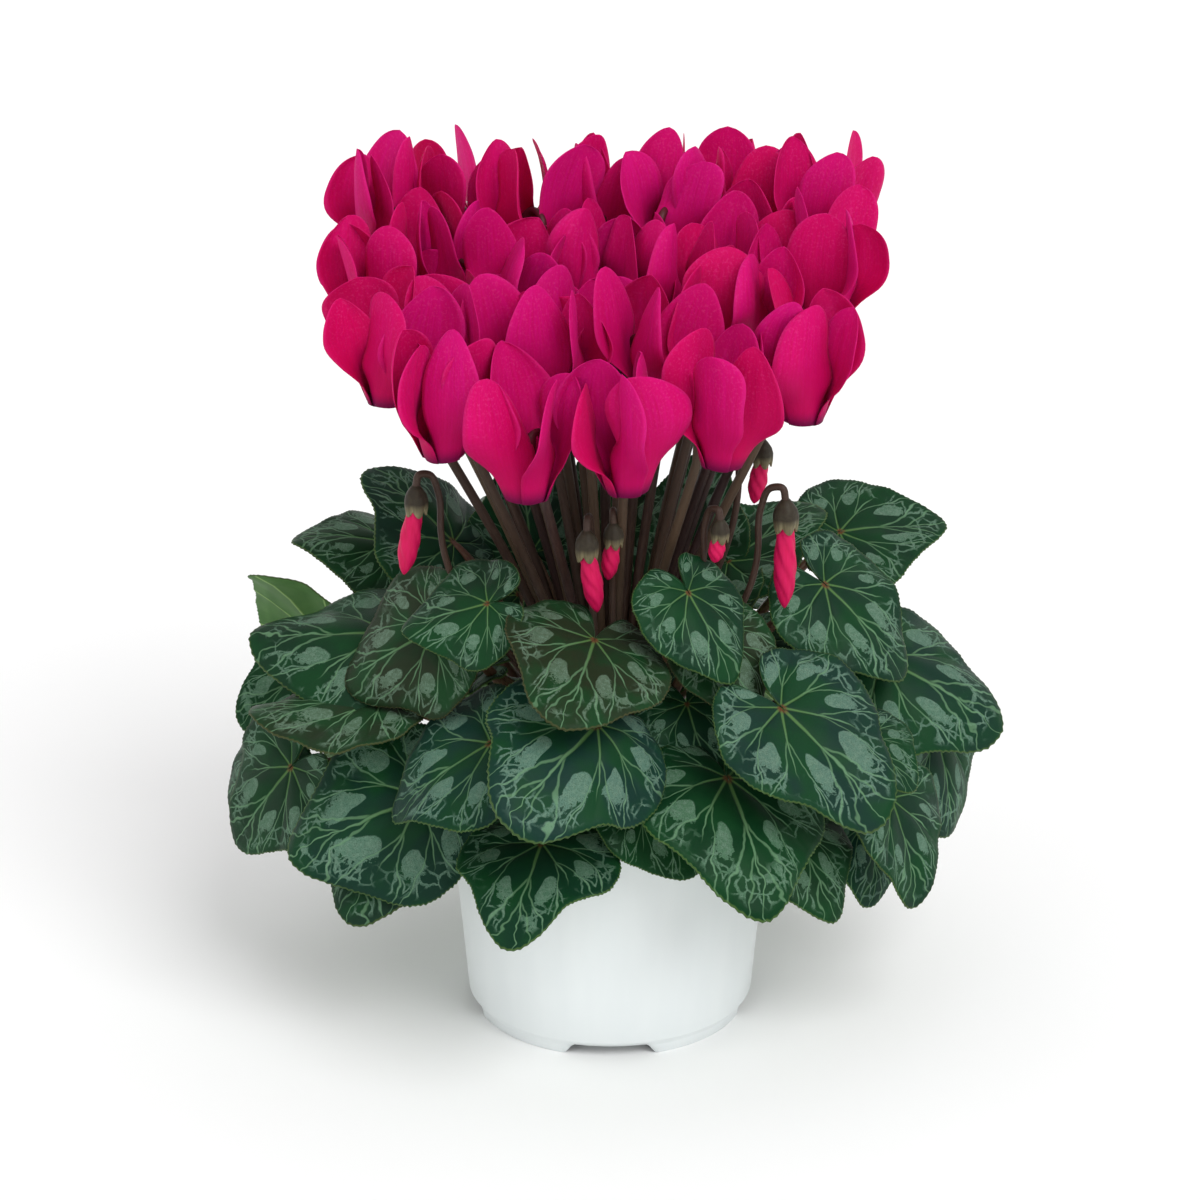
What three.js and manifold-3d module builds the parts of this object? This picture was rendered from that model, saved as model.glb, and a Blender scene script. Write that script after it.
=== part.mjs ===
// A cyclamen in a round nursery pot: hanging blooms with petals turned up above
// a low mound of heart-shaped leaves. Millimetres, +Z up, front towards -Y,
// pot axis on Z, resting on z = 0.

import * as THREE from "three";
import { mergeVertices } from "three/addons/utils/BufferGeometryUtils.js";
import Module from "manifold-3d";

const wasm = await Module();
wasm.setup();

// Driving dimensions
const potHeight = 100;
const potRimRadius = 66;
const potFootRadius = 53;
const potWall = 1.6;
const potTaper = 0.09; // wall radius gained per mm of height
const potStepHeight = 7; // drip edge above the foot
const potSides = 40;
const floorHeight = 5;
const drainRadius = 4;
const drainRing = 30;
const notchWidth = 32;
const notchHeight = 3.6;
const soilTop = 90;
const tuberRadius = 28;
const tuberTop = 95;
const crownTop = 98.5; // plate from which the flower stems rise
const gap = 0.3; // between pieces that touch
const bladeThickness = 0.9;
const petalThickness = 0.8;
const petioleRadius = 1.5;

const colours = {
  pot: 0xe4e8e9,
  soil: 0x2c211b,
  tuber: 0x4a3528,
  stem: 0x4a2c2a,
  leaf: 0x2a5538,
  petal: 0xc4125c,
};

const rad = Math.PI / 180;
const vec = (x, y, z) => new THREE.Vector3(x, y, z);

// ---- closed shapes ----

function geometryOf(points, triangles) {
  const geometry = new THREE.BufferGeometry();
  geometry.setAttribute(
    "position",
    new THREE.Float32BufferAttribute(points.flatMap((p) => [p.x, p.y, p.z]), 3),
  );
  geometry.setIndex(triangles.flat());
  return geometry;
}

function solidOf(geometry) {
  let bare = geometry.clone();
  bare.deleteAttribute("normal");
  bare.deleteAttribute("uv");
  bare = mergeVertices(bare, 1e-4);
  return new wasm.Manifold(
    new wasm.Mesh({
      numProp: 3,
      vertProperties: new Float32Array(bare.attributes.position.array),
      triVerts: new Uint32Array(bare.index.array),
    }),
  );
}

function geometryOfSolid(solid) {
  const mesh = solid.getMesh();
  const geometry = new THREE.BufferGeometry();
  geometry.setAttribute(
    "position",
    new THREE.Float32BufferAttribute(mesh.vertProperties, 3),
  );
  geometry.setIndex(Array.from(mesh.triVerts));
  geometry.computeVertexNormals();
  return geometry;
}

const joined = (solids) => solids.reduce((all, solid) => all.add(solid));

// A solid of revolution about Z from a closed outline of [radius, height] points
// that runs anticlockwise seen with the radius to the right.
function turned(outline, sides) {
  const points = outline.map(([r, z]) => new THREE.Vector2(r, z));
  points.push(points[0].clone());
  const geometry = new THREE.LatheGeometry(points, sides);
  geometry.rotateX(Math.PI / 2);
  return geometry;
}

// A round-sectioned stem through a list of points, with a radius at each.
function tube(path, radii, sides) {
  const points = [];
  const triangles = [];
  let side = vec(1, 0, 0);
  path.forEach((p, i) => {
    const before = path[Math.max(i - 1, 0)];
    const after = path[Math.min(i + 1, path.length - 1)];
    const along = after.clone().sub(before).normalize();
    side = side.clone().addScaledVector(along, -side.dot(along)).normalize();
    const up = along.clone().cross(side);
    for (let k = 0; k < sides; k += 1) {
      const a = (2 * Math.PI * k) / sides;
      points.push(
        p
          .clone()
          .addScaledVector(side, radii[i] * Math.cos(a))
          .addScaledVector(up, radii[i] * Math.sin(a)),
      );
    }
  });
  for (let i = 0; i + 1 < path.length; i += 1) {
    for (let k = 0; k < sides; k += 1) {
      const a = i * sides + k;
      const b = i * sides + ((k + 1) % sides);
      triangles.push([a, b, b + sides], [a, b + sides, a + sides]);
    }
  }
  const last = (path.length - 1) * sides;
  for (let k = 1; k + 1 < sides; k += 1) {
    triangles.push([0, k + 1, k], [last, last + k, last + k + 1]);
  }
  return geometryOf(points, triangles);
}

function alongCurve(corners, steps) {
  const curve =
    corners.length === 4
      ? new THREE.CubicBezierCurve3(...corners)
      : new THREE.CatmullRomCurve3(corners, false, "centripetal");
  return curve.getPoints(steps);
}

// ---- leaves ----

// Radius of the heart-shaped outline at an angle from the midrib, for a blade
// whose stalk-to-tip length is 1: a blunt tip in front, a narrow bay behind.
function outlineRadius(angle) {
  const a = Math.abs(angle) / rad;
  return (
    0.63 +
    0.2 * Math.cos(angle) +
    0.17 * Math.exp(-((a / 28) ** 2)) -
    0.4 * Math.exp(-(((180 - a) / 10) ** 2))
  );
}

// Directions of a blade: along the midrib, across it and out of its upper face.
function bladeAxes({ head, dip, roll }) {
  const along = vec(
    Math.cos(dip * rad) * Math.cos(head * rad),
    Math.cos(dip * rad) * Math.sin(head * rad),
    -Math.sin(dip * rad),
  );
  const level = vec(-Math.sin(head * rad), Math.cos(head * rad), 0);
  const face = along.clone().cross(level);
  const across = level
    .clone()
    .multiplyScalar(Math.cos(roll * rad))
    .addScaledVector(face, Math.sin(roll * rad));
  return { along, across, face: along.clone().cross(across) };
}

// Height of the blade over its flat plane, both in blade lengths.
function bladeHeight(leaf, x, y) {
  const reach = Math.hypot(x, y);
  const angle = Math.atan2(y, x);
  const wave = leaf.wave * reach ** 2 * Math.sin(leaf.lobes * angle + leaf.turn);
  return wave - leaf.droop * x * x - leaf.arch * y * y;
}

// Corners of the blade's edge on one side of the midrib, in degrees from the tip,
// how far the teeth reach past the outline and the dents fall short of it, and
// the ring inside the edge that lets the blade wave and sag.
const outlineAngles = [0, 18, 42, 72, 104, 138, 166];
const toothReach = 1.015;
const dentReach = 0.985;
const innerRing = 0.55;
const stalkSpot = [0.06, 0]; // where the stalk meets the blade, in blade lengths
const fullTurn = 2 * Math.PI;

// The flat strip between two rings that face each other round one middle. Each
// ring is a list of [angle, corner] with the angles rising from about zero; the
// ring whose next corner comes first moves on.
function stripBetween(outer, inner) {
  const at = (ring, i) => [
    ring[i % ring.length][0] + (i < ring.length ? 0 : fullTurn),
    ring[i % ring.length][1],
  ];
  const triangles = [];
  let [i, k] = [0, 0];
  while (i < outer.length || k < inner.length) {
    const [near, far] = [at(outer, i)[1], at(inner, k)[1]];
    const outerFirst = at(outer, i + 1)[0] < at(inner, k + 1)[0];
    if (k === inner.length || (i < outer.length && outerFirst)) {
      triangles.push([near, at(outer, i + 1)[1], far]);
      i += 1;
    } else {
      triangles.push([near, at(inner, k + 1)[1], far]);
      k += 1;
    }
  }
  return triangles;
}

// A leaf in one closed piece: the blade, with the stalk growing out of its
// underside a little in front of the bay and running down to its foot.
function leafGeometry(leaf) {
  const { along, across, face } = bladeAxes(leaf);
  const place = (x, y, lift) =>
    leaf.stalk
      .clone()
      .addScaledVector(along, leaf.length * x)
      .addScaledVector(across, leaf.length * y)
      .addScaledVector(face, leaf.length * bladeHeight(leaf, x, y) + lift);
  const rim = [
    ...outlineAngles.map((a) => a * rad),
    Math.PI,
    ...outlineAngles.slice(1).reverse().map((a) => -a * rad),
  ];
  const spot = (angle, part) => {
    const r = outlineRadius(angle) * part;
    return [r * Math.cos(angle), r * Math.sin(angle)];
  };
  const inner = rim.filter((_, i) => i % 2 === 0).map((a) => spot(a, innerRing));
  const outer = rim.map((a, i) => spot(a, i % 2 ? toothReach : dentReach));
  const n = inner.length;
  const points = [];
  const triangles = [];
  for (const lift of [0, -bladeThickness]) {
    points.push(place(...stalkSpot, lift));
    [...inner, ...outer].forEach(([x, y]) => points.push(place(x, y, lift)));
  }
  const layer = 1 + inner.length + outer.length;
  for (let i = 0; i < n; i += 1) {
    const j = (i + 1) % n;
    const edge = (k) => 1 + n + (k % outer.length);
    const strip = [
      [1 + i, edge(2 * i), edge(2 * i + 1)],
      [1 + i, edge(2 * i + 1), 1 + j],
      [1 + j, edge(2 * i + 1), edge(2 * i + 2)],
    ];
    triangles.push([0, 1 + i, 1 + j], ...strip);
    strip.forEach(([a, b, c]) => triangles.push([a + layer, c + layer, b + layer]));
  }
  for (let i = 0; i < outer.length; i += 1) {
    const a = 1 + n + i;
    const b = 1 + n + ((i + 1) % outer.length);
    triangles.push([a, a + layer, b], [b, a + layer, b + layer]);
  }
  addStalk(leaf, place, inner, layer, points, triangles);
  return geometryOf(points, triangles);
}

// The stalk: four corners on the underside, joined to the ring of corners round
// them, then four corners at each step of its path and a flat end.
function addStalk(leaf, place, inner, layer, points, triangles) {
  const start = points.length;
  const angleOf = (x, y) => (Math.atan2(y, x) + fullTurn) % fullTurn;
  const hub = [45, 135, 225, 315].map((degrees, k) => {
    const reach = petioleRadius / leaf.length;
    const x = reach * Math.cos(degrees * rad);
    const y = reach * Math.sin(degrees * rad);
    points.push(place(stalkSpot[0] + x, stalkSpot[1] + y, -bladeThickness));
    return [degrees * rad, start + k];
  });
  const around = inner.map(([x, y], i) => [
    angleOf(x - stalkSpot[0], y - stalkSpot[1]),
    1 + layer + i,
  ]);
  stripBetween(around, hub).forEach(([a, b, c]) => triangles.push([a, c, b]));

  const path = petiolePath(leaf, points.slice(start, start + 4));
  let side = points[start].clone().sub(points[start + 2]).normalize();
  path.forEach((p, i) => {
    const down = path[Math.min(i + 1, path.length - 1)]
      .clone()
      .sub(i ? path[i - 1] : leaf.stalk)
      .normalize();
    side = side.clone().addScaledVector(down, -side.dot(down)).normalize();
    const other = side.clone().cross(down);
    [side, other, side.clone().negate(), other.clone().negate()].forEach((d) =>
      points.push(p.clone().addScaledVector(d, petioleRadius)),
    );
  });
  for (let i = 0; i < path.length; i += 1) {
    for (let k = 0; k < 4; k += 1) {
      const a = start + i * 4 + k;
      const b = start + i * 4 + ((k + 1) % 4);
      triangles.push([a, b + 4, b], [a, a + 4, b + 4]);
    }
  }
  const last = start + path.length * 4;
  triangles.push([last, last + 2, last + 1], [last, last + 3, last + 2]);
}

// The stalk climbs from the crown inside the mound and reaches the blade from
// beneath and behind. Points from the blade to the foot, without the blade's end.
function petiolePath(leaf, ends) {
  const end = ends.reduce((sum, p) => sum.add(p), vec(0, 0, 0)).multiplyScalar(0.25);
  const outward = vec(end.x - leaf.base.x, end.y - leaf.base.y, 0);
  const reach = outward.length();
  outward.normalize();
  const over = Math.max(end.z - 6, potHeight + 12);
  const rise = vec(leaf.base.x, leaf.base.y, leaf.base.z + 0.4 * (over - leaf.base.z));
  const arch = vec(end.x, end.y, over);
  const curve = new THREE.CubicBezierCurve3(
    end,
    arch.addScaledVector(outward, -0.3 * reach),
    rise.addScaledVector(outward, 0.22 * reach),
    leaf.base,
  );
  return curve.getPoints(4).slice(1);
}

// The leaves stand in sprigs that share a foot on the crown, given by its ring
// radius and angle (-90 is the front). Each leaf: where the stalk meets the blade,
// stalk-to-tip length, heading of the tip, dip of the tip, roll about the midrib,
// and how far the tip and the sides sag.
const sprigTable = [
  [18, -112, [-46, -54, 191, 36, 170, 18, -41, 0.1, 0.1], [-6, -60, 179, 50, -100, 8, -20, 0.15, 0.15]],
  [18, -57, [29, -50, 194, 38, -41, 49, 8, 0.1, 0.15], [39, -41, 173.5, 36, -50, 50, 8, 0.15, 0.15]],
  [18, -5, [82, -8, 180, 47, -22, 37, 21, 0.15, 0.15], [90, 46, 180, 44, 15, -4, 26, 0.1, 0.15]],
  [18, 150, [-61, 30, 182, 43, 163, -45, -20, 0.1, 0.1], [-87, 60, 170, 38, -174, -13, -19, 0.1, 0.15]],
  [18, -165, [-67, -44, 176, 46, 164, 33, -55, 0.15, 0.2], [-87, -11, 161, 55, 166, 6, -22, 0.1, 0.15]],
  [18, 38, [46, 35, 172, 43, 19, -30, 16, 0.1, 0.1]],
  [24, -102, [-5, -80, 153, 57, -122, 13, -35, 0.15, 0.15], [-26, -75, 102, 48, -105, 17, 0, 0.15, 0.15]],
  [24, -130, [-45, -70, 141, 50, 179, 31, -26, 0.15, 0.15], [-72, -46, 107.5, 56, -174, 20, -50, 0.15, 0.15]],
  [24, -157, [-88, -28, 142, 50, -176, 4, -3, 0.1, 0.2], [-83, -28, 95, 48, -122, 40, 0, 0.15, 0.1]],
  [24, 178, [-124, -10, 104, 46, 165, 52, -52, 0.15, 0.15], [-134, 27, 97, 40, 172, 56, -40, 0.15, 0.15]],
  [24, 155, [-118, 34, 127, 36, -168, 29, -33, 0.15, 0.15], [-114, 55, 130, 46, -150, -60, 20, 0.1, 0.1]],
  [24, -46, [64, -62, 152, 57, -33, 31, 14, 0.15, 0.15], [44, -66, 125, 58, -70, 28, -8, 0.15, 0.15]],
  [24, -78, [12, -70, 118, 36, -22, 50, 34, 0.15, 0.15]],
  [24, -32, [68, -55, 100, 40, -50, 39, 5, 0.15, 0.15], [97, -40, 131, 28, -44, 24, 14, 0.15, 0.15]],
  [24, -10, [101, -20, 92, 38, -74, 60, -30, 0.15, 0.15], [108, -35, 102, 43, -43, 60, -8, 0.15, 0.15]],
  [24, 12, [105, 4, 144, 55, -8, 24, 30, 0.15, 0.25], [128, 18, 109, 44, -55, 65, -20, 0.15, 0.15]],
  [18, 72, [8, 64, 172, 38, 82, -10, 0, 0.1, 0.15], [36, 72, 146, 48, 60, 16, 0, 0.15, 0.15]],
  [18, 108, [-28, 60, 176, 38, 120, -14, 0, 0.1, 0.15], [-42, 74, 148, 48, 118, 16, 0, 0.15, 0.15]],
  [24, 35, [70, 66, 128, 52, 40, 28, 0, 0.15, 0.15], [94, 46, 100, 46, 20, 45, 0, 0.15, 0.15]],
  [24, 60, [46, 92, 104, 48, 64, 42, 0, 0.15, 0.15]],
  [24, 86, [2, 80, 134, 54, 90, 26, 0, 0.15, 0.15], [4, 96, 100, 48, 92, 48, 0, 0.15, 0.15]],
  [24, 119, [-44, 92, 104, 50, 116, 42, 0, 0.15, 0.15]],
  [24, 136, [-76, 84, 132, 52, 128, 28, 0, 0.15, 0.15], [-92, 78, 98, 46, 142, 48, 0, 0.15, 0.15]],
];

const sprigs = sprigTable.map(([ring, round, ...rows], i) =>
  rows.map(([x, y, z, length, head, dip, roll, droop, arch], k) => ({
    foot: vec(ring * Math.cos(round * rad), ring * Math.sin(round * rad), tuberTop + gap),
    base: vec(ring * Math.cos(round * rad), ring * Math.sin(round * rad), tuberTop + 3),
    stalk: vec(x, y, z),
    length,
    head,
    dip,
    roll,
    droop,
    arch,
    wave: 0.05,
    lobes: 5,
    turn: i * 1.7 + k,
  })),
);

// ---- blooms ----

// A petal above its base: distance from the bloom's axis, height, half width, and
// twist in degrees, then its tip.
const petalRows = [
  [13.5, 17, 9.2, 10],
  [16.2, 36, 10.6, 22],
];
const petalTip = [17.5, 50];
const petalAngles = [-126, -64, 0, 64, 126];
const petalBase = 21; // half the angle that a petal takes at the mouth, in degrees
const mouthRadius = 10;
const mouthLip = { inner: 1.5, below: 2.4, above: 2 }; // rolled rim of the mouth
const petalCup = 0.13; // how far a petal's edges bend in, in half widths
const tubeRadius = 4.6;
const tubeHeight = 11;
const neckReach = 14; // stem to bloom axis where it passes the mouth

// A bloom in one closed piece: the corolla tube, the rolled mouth below it, and
// five petals that leave the mouth outwards and turn up round the tube.
function bloomGeometry(bloom) {
  const points = [vec(0, 0, -0.8), vec(0, 0, tubeHeight)];
  const triangles = [];
  const turnOf = (k) => petalAngles[k] * rad + bloom.stemSide + Math.PI + bloom.turn;
  const add = (angle, x, y, z) => {
    points.push(
      vec(x * Math.cos(angle) - y * Math.sin(angle), x * Math.sin(angle) + y * Math.cos(angle), z),
    );
    return points.length - 1;
  };
  const petals = petalAngles.map((_, k) => {
    const angle = turnOf(k);
    const spread = [-petalBase, 0, petalBase].map((a) => a * rad);
    const outside = [spread.map((a) => add(angle + a, mouthRadius, 0, -mouthLip.below))];
    const inside = [spread.map((a) => add(angle + a, mouthRadius - mouthLip.inner, 0, mouthLip.above))];
    petalRows.forEach(([r, z, half, twist]) => {
      const a = twist * rad;
      for (const [rows, lift] of [
        [outside, petalThickness / 2],
        [inside, -petalThickness / 2],
      ]) {
        rows.push(
          [-1, 0, 1].map((k2) =>
            add(
              angle,
              r + k2 * half * Math.sin(a) - petalCup * half * Math.abs(k2) + lift,
              k2 * half * Math.cos(a),
              z,
            ),
          ),
        );
      }
    });
    const tip = add(angle, petalTip[0], 0, petalTip[1]);
    const crown = add(angle, tubeRadius, 0, tubeHeight);
    return { outside, inside, tip, crown };
  });
  petals.forEach(({ outside, inside, tip, crown }, k) => {
    const next = petals[(k + 1) % petals.length];
    const rows = outside.length;
    for (let i = 0; i + 1 < rows; i += 1) {
      for (const j of [0, 1]) {
        const [a, b, c, d] = [outside[i][j], outside[i][j + 1], outside[i + 1][j + 1], outside[i + 1][j]];
        triangles.push([a, b, c], [a, c, d]);
        const [e, f, g, h] = [inside[i][j], inside[i][j + 1], inside[i + 1][j + 1], inside[i + 1][j]];
        triangles.push([e, g, f], [e, h, g]);
      }
      const [a, b, c, d] = [inside[i][0], outside[i][0], outside[i + 1][0], inside[i + 1][0]];
      triangles.push([a, b, c], [a, c, d]);
      const [e, f, g, h] = [inside[i][2], outside[i][2], outside[i + 1][2], inside[i + 1][2]];
      triangles.push([e, g, f], [e, h, g]);
    }
    const [o, n] = [outside[rows - 1], inside[rows - 1]];
    triangles.push([o[0], o[1], tip], [o[1], o[2], tip], [n[1], n[0], tip], [n[2], n[1], tip]);
    triangles.push([n[0], o[0], tip], [o[2], n[2], tip]);
    // mouth, rolled rim between petals, shoulder of the tube, top of the tube
    const [b, t] = [outside[0], inside[0]];
    const [b2, t2] = [next.outside[0][0], next.inside[0][0]];
    triangles.push([0, b[1], b[0]], [0, b[2], b[1]], [0, b2, b[2]]);
    triangles.push([b[2], b2, t2], [b[2], t2, t[2]]);
    triangles.push([t[0], t[1], crown], [t[1], t[2], crown]);
    triangles.push([t[2], t2, crown], [t2, next.crown, crown], [1, crown, next.crown]);
  });
  const geometry = geometryOf(points, triangles);
  geometry.scale(bloom.size, bloom.size, bloom.size);
  geometry.applyMatrix4(bloom.placing);
  return geometry;
}

// Each bloom: centre of its mouth, size, and turn of the petals in degrees.
const bloomTable = [
  [-87, -18, 257, 0.94, 0],
  [-64, -48, 247, 0.98, 0],
  [-32, -63, 236, 1, -8],
  [6, -60, 238, 1, -6],
  [42, -50, 244, 0.96, 4],
  [75, -28, 254, 1, 0],
  [-52, -10, 260, 0.91, 0],
  [-19, -19, 256, 0.93, 10],
  [17, -16, 258, 0.95, 0],
  [51, -1, 266, 0.92, 4],
  [-91, 16, 271, 0.93, 0],
  [-65, 35, 274, 0.89, -5],
  [-35, 20, 270, 0.9, 5],
  [-5, 31, 270, 0.9, 0],
  [24, 20, 271, 0.92, 0],
  [56, 32, 275, 0.92, 0],
  [85, 16, 276, 0.93, 0],
  [-91, 58, 288, 0.9, 0],
  [-62, 76, 282, 0.9, 0],
  [-33, 58, 287, 0.92, 0],
  [-4, 76, 282, 0.9, 0],
  [23, 57, 289, 0.89, -4],
  [54, 77, 283, 0.88, 4],
  [83, 56, 288, 0.92, 0],
];

const blooms = bloomTable.map(([x, y, z, size, turn]) => {
  const mouth = vec(x, y, z);
  const stemSide = Math.atan2(-y, -x);
  const lean = 0.1;
  const axis = vec(-Math.cos(stemSide) * lean, -Math.sin(stemSide) * lean, 1).normalize();
  const turning = new THREE.Quaternion().setFromUnitVectors(vec(0, 0, 1), axis);
  const placing = new THREE.Matrix4().compose(mouth, turning, vec(1, 1, 1));
  return { mouth, size, turn: turn * rad, stemSide, placing };
});

// ---- flower stems ----

// A bloom's stem climbs from the crown, passes the mouth in the space between two
// petals and hooks over to the small calyx on top of the corolla tube.
function stemGeometry(bloom) {
  const inward = (r, z) =>
    vec(r * Math.cos(bloom.stemSide), r * Math.sin(bloom.stemSide), z)
      .multiplyScalar(bloom.size)
      .applyMatrix4(bloom.placing);
  const foot = vec(0.12 * bloom.mouth.x, 0.12 * bloom.mouth.y, crownTop - 1);
  const neck = inward(neckReach, -6);
  const rise = neck.clone().sub(foot);
  const bend = (part, height) =>
    vec(foot.x + part * rise.x, foot.y + part * rise.y, foot.z + height * rise.z);
  const path = [
    ...alongCurve([foot, bend(0.12, 0.4), bend(0.5, 0.8), neck], 3),
    inward(neckReach, 10),
    inward(11, 20),
    inward(4, 21),
    inward(0, 16),
    inward(0, tubeHeight + gap),
  ];
  const radii = [1.9, 2, 1.9, 1.8, 1.7, 1.6, 1.6, 3.6, 4.4];
  return tube(path, radii, 4);
}

// Each bud: middle of its calyx, the reach of its furled petals sideways and
// downwards, and its size.
const budTable = [
  [-73, -35, 225, -5, 25, 1],
  [-9, -48, 212, 4, 22, 1],
  [1, -40, 213, -2, 14, 0.85],
  [41, -38, 214, -2, 9, 0.8],
  [66, -28, 216, 0, 32, 1.1],
  [58, 4, 229, -3, 16, 0.9],
];

const buds = budTable.map(([x, y, z, aside, drop, size]) => ({
  calyx: vec(x, y, z),
  tip: vec(x + aside, y, z - drop - 5 * size),
  size,
}));

const calyxHalf = 6;

function budStemGeometry({ calyx, size }) {
  const inwards = vec(-calyx.x, -calyx.y, 0).normalize();
  const at = (r, z) => calyx.clone().addScaledVector(inwards, r * size).add(vec(0, 0, z * size));
  const foot = vec(0.12 * calyx.x, 0.12 * calyx.y, crownTop - 1);
  const neck = at(10, -14);
  const rise = neck.clone().sub(foot);
  const bend = (part, height) =>
    vec(foot.x + part * rise.x, foot.y + part * rise.y, foot.z + height * rise.z);
  const path = [
    ...alongCurve([foot, bend(0.12, 0.4), bend(0.5, 0.8), neck], 3),
    at(9, 2),
    at(5.5, 10),
    at(1, 10.5),
    at(0, calyxHalf),
    at(0, 1),
    at(0, -calyxHalf),
  ];
  const radii = [1.5, 1.5, 1.4, 1.3, 1.2, 1.2, 1.2, 2, 4.4, 3.2];
  return tube(path, radii.map((r, i) => (i > 6 ? r * size : r)), 5);
}

function budPetalsGeometry({ calyx, tip, size }) {
  const top = calyx.clone().add(vec(0, 0, -calyxHalf * size - gap));
  const parts = [0, 0.4, 0.8, 1];
  const path = parts.map((t) => top.clone().lerp(tip, t));
  path.splice(1, 0, top.clone().add(vec(0, 0, -0.6)));
  return tube(path, [2.8, 2.9, 3.7, 3, 0.8].map((r) => r * size), 6);
}

// ---- pot, soil and tuber ----

const wallAt = (z) => potFootRadius + 2.3 + potTaper * z;

function potGeometry() {
  const shoulder = potHeight - 9;
  const outline = [
    [0, floorHeight],
    [potFootRadius - potWall, floorHeight],
    [potFootRadius - potWall, 0],
    [potFootRadius, 0],
    [potFootRadius + 0.3, potStepHeight - 3],
    [wallAt(potStepHeight), potStepHeight],
    [wallAt(shoulder), shoulder],
    [potRimRadius - 0.3, shoulder + 1.5],
    [potRimRadius, potHeight - 1],
    [potRimRadius - 0.8, potHeight],
    [potRimRadius - 1.9, potHeight],
    [wallAt(shoulder) - potWall, shoulder - 1],
    [wallAt(floorHeight) - potWall, floorHeight + potWall],
    [0, floorHeight + potWall],
  ];
  let pot = solidOf(turned(outline, potSides));
  for (const angle of [-90, 0, 90, 180]) {
    const notch = new THREE.BoxGeometry(20, notchWidth, 2 * notchHeight);
    notch.translate(potFootRadius, 0, 0).rotateZ(angle * rad);
    const drain = new THREE.CylinderGeometry(drainRadius, drainRadius, 4 * potWall, 8);
    drain.rotateX(Math.PI / 2).translate(drainRing, 0, floorHeight);
    drain.rotateZ((angle + 45) * rad);
    pot = pot.subtract(solidOf(notch)).subtract(solidOf(drain));
  }
  return geometryOfSolid(pot);
}

const tuberBase = 80;
const soilBase = floorHeight + potWall + gap;

const tuberOutline = [
  [0, tuberBase],
  [tuberRadius - 4, tuberBase],
  [tuberRadius, tuberBase + 4],
  [tuberRadius, soilTop],
  [tuberRadius - 1.2, tuberTop],
  [0, tuberTop],
];

const soilOutline = [
  [0, soilBase],
  [wallAt(floorHeight) - potWall - gap - 0.1, soilBase],
  [wallAt(soilTop - 2) - potWall - gap - 0.1, soilTop - 2],
  [48, soilTop],
  [tuberRadius + gap, soilTop - 0.8],
  [tuberRadius + gap, tuberBase + 4 - gap],
  [tuberRadius - 4, tuberBase - gap],
  [0, tuberBase - gap],
];

// ---- assembling ----

const group = new THREE.Group();

function addPiece(name, geometry, colour, roughness) {
  const material = new THREE.MeshStandardMaterial({
    color: colour,
    roughness,
    metalness: 0,
  });
  const mesh = new THREE.Mesh(geometry, material);
  mesh.name = name;
  group.add(mesh);
}

// foot knob that joins the stalks of a sprig
const knob = (foot) =>
  turned([[0, 0], [2.8, 0], [2.8, 5], [0, 7]], 6).translate(foot.x, foot.y, foot.z);

sprigs.forEach((sprig, i) => {
  const pieces = sprig.map((leaf) => solidOf(leafGeometry(leaf)));
  pieces.push(solidOf(knob(sprig[0].foot)));
  addPiece(`leaves_${i + 1}`, geometryOfSolid(joined(pieces)), colours.leaf, 0.5);
});

blooms.forEach((bloom, i) => {
  addPiece(`bloom_${i + 1}`, bloomGeometry(bloom), colours.petal, 0.6);
});

const crownPlate = turned(
  [[0, tuberTop + gap], [14.5, tuberTop + gap], [14.5, crownTop - 1], [11, crownTop], [0, crownTop]],
  12,
);
addPiece(
  "flower_stems",
  geometryOfSolid(
    joined(
      [crownPlate, ...blooms.map(stemGeometry), ...buds.map(budStemGeometry)].map(solidOf),
    ),
  ),
  colours.stem,
  0.6,
);

buds.forEach((bud, i) => {
  addPiece(`bud_${i + 1}`, budPetalsGeometry(bud), colours.petal, 0.5);
});

addPiece("tuber", turned(tuberOutline, 16), colours.tuber, 0.9);
addPiece("soil", turned(soilOutline, 24), colours.soil, 1);
addPiece("pot", potGeometry(), colours.pot, 0.45);

export default group;
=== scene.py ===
# A cyclamen in a white nursery pot, dressed for a studio picture. Sizes are in
# millimetres until a mesh is made, +Z up, the front of the plant towards -Y.
import math

import bpy
import numpy as np
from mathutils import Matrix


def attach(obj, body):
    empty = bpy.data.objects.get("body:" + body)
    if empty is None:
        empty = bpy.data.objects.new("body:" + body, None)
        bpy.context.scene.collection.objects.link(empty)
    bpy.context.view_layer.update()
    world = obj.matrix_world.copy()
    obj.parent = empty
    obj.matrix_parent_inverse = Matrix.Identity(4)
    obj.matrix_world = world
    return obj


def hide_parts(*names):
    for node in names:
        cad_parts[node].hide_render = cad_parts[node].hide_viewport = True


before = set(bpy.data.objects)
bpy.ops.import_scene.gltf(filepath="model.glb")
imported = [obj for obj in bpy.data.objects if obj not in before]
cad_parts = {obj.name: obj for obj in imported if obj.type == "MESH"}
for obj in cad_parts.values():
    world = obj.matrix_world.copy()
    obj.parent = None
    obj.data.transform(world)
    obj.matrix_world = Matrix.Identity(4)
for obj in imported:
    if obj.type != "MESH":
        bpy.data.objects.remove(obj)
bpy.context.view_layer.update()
print("frame loaded:", len(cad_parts), "nodes")

metresPerMm = 0.001
# seeded, so that each run grows the same leaves and stems, and the same blooms
randomDraws = np.random.default_rng(11)
bloomDraws = np.random.default_rng(23)


# Helpers for colours, nodes, curves and meshes

def linearColour(hexText):
    value = int(hexText, 16)
    parts = []
    for shift in (16, 8, 0):
        c = ((value >> shift) & 255) / 255
        parts.append(c / 12.92 if c <= 0.04045 else ((c + 0.055) / 1.055) ** 2.4)
    return (*parts, 1.0)


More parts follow.
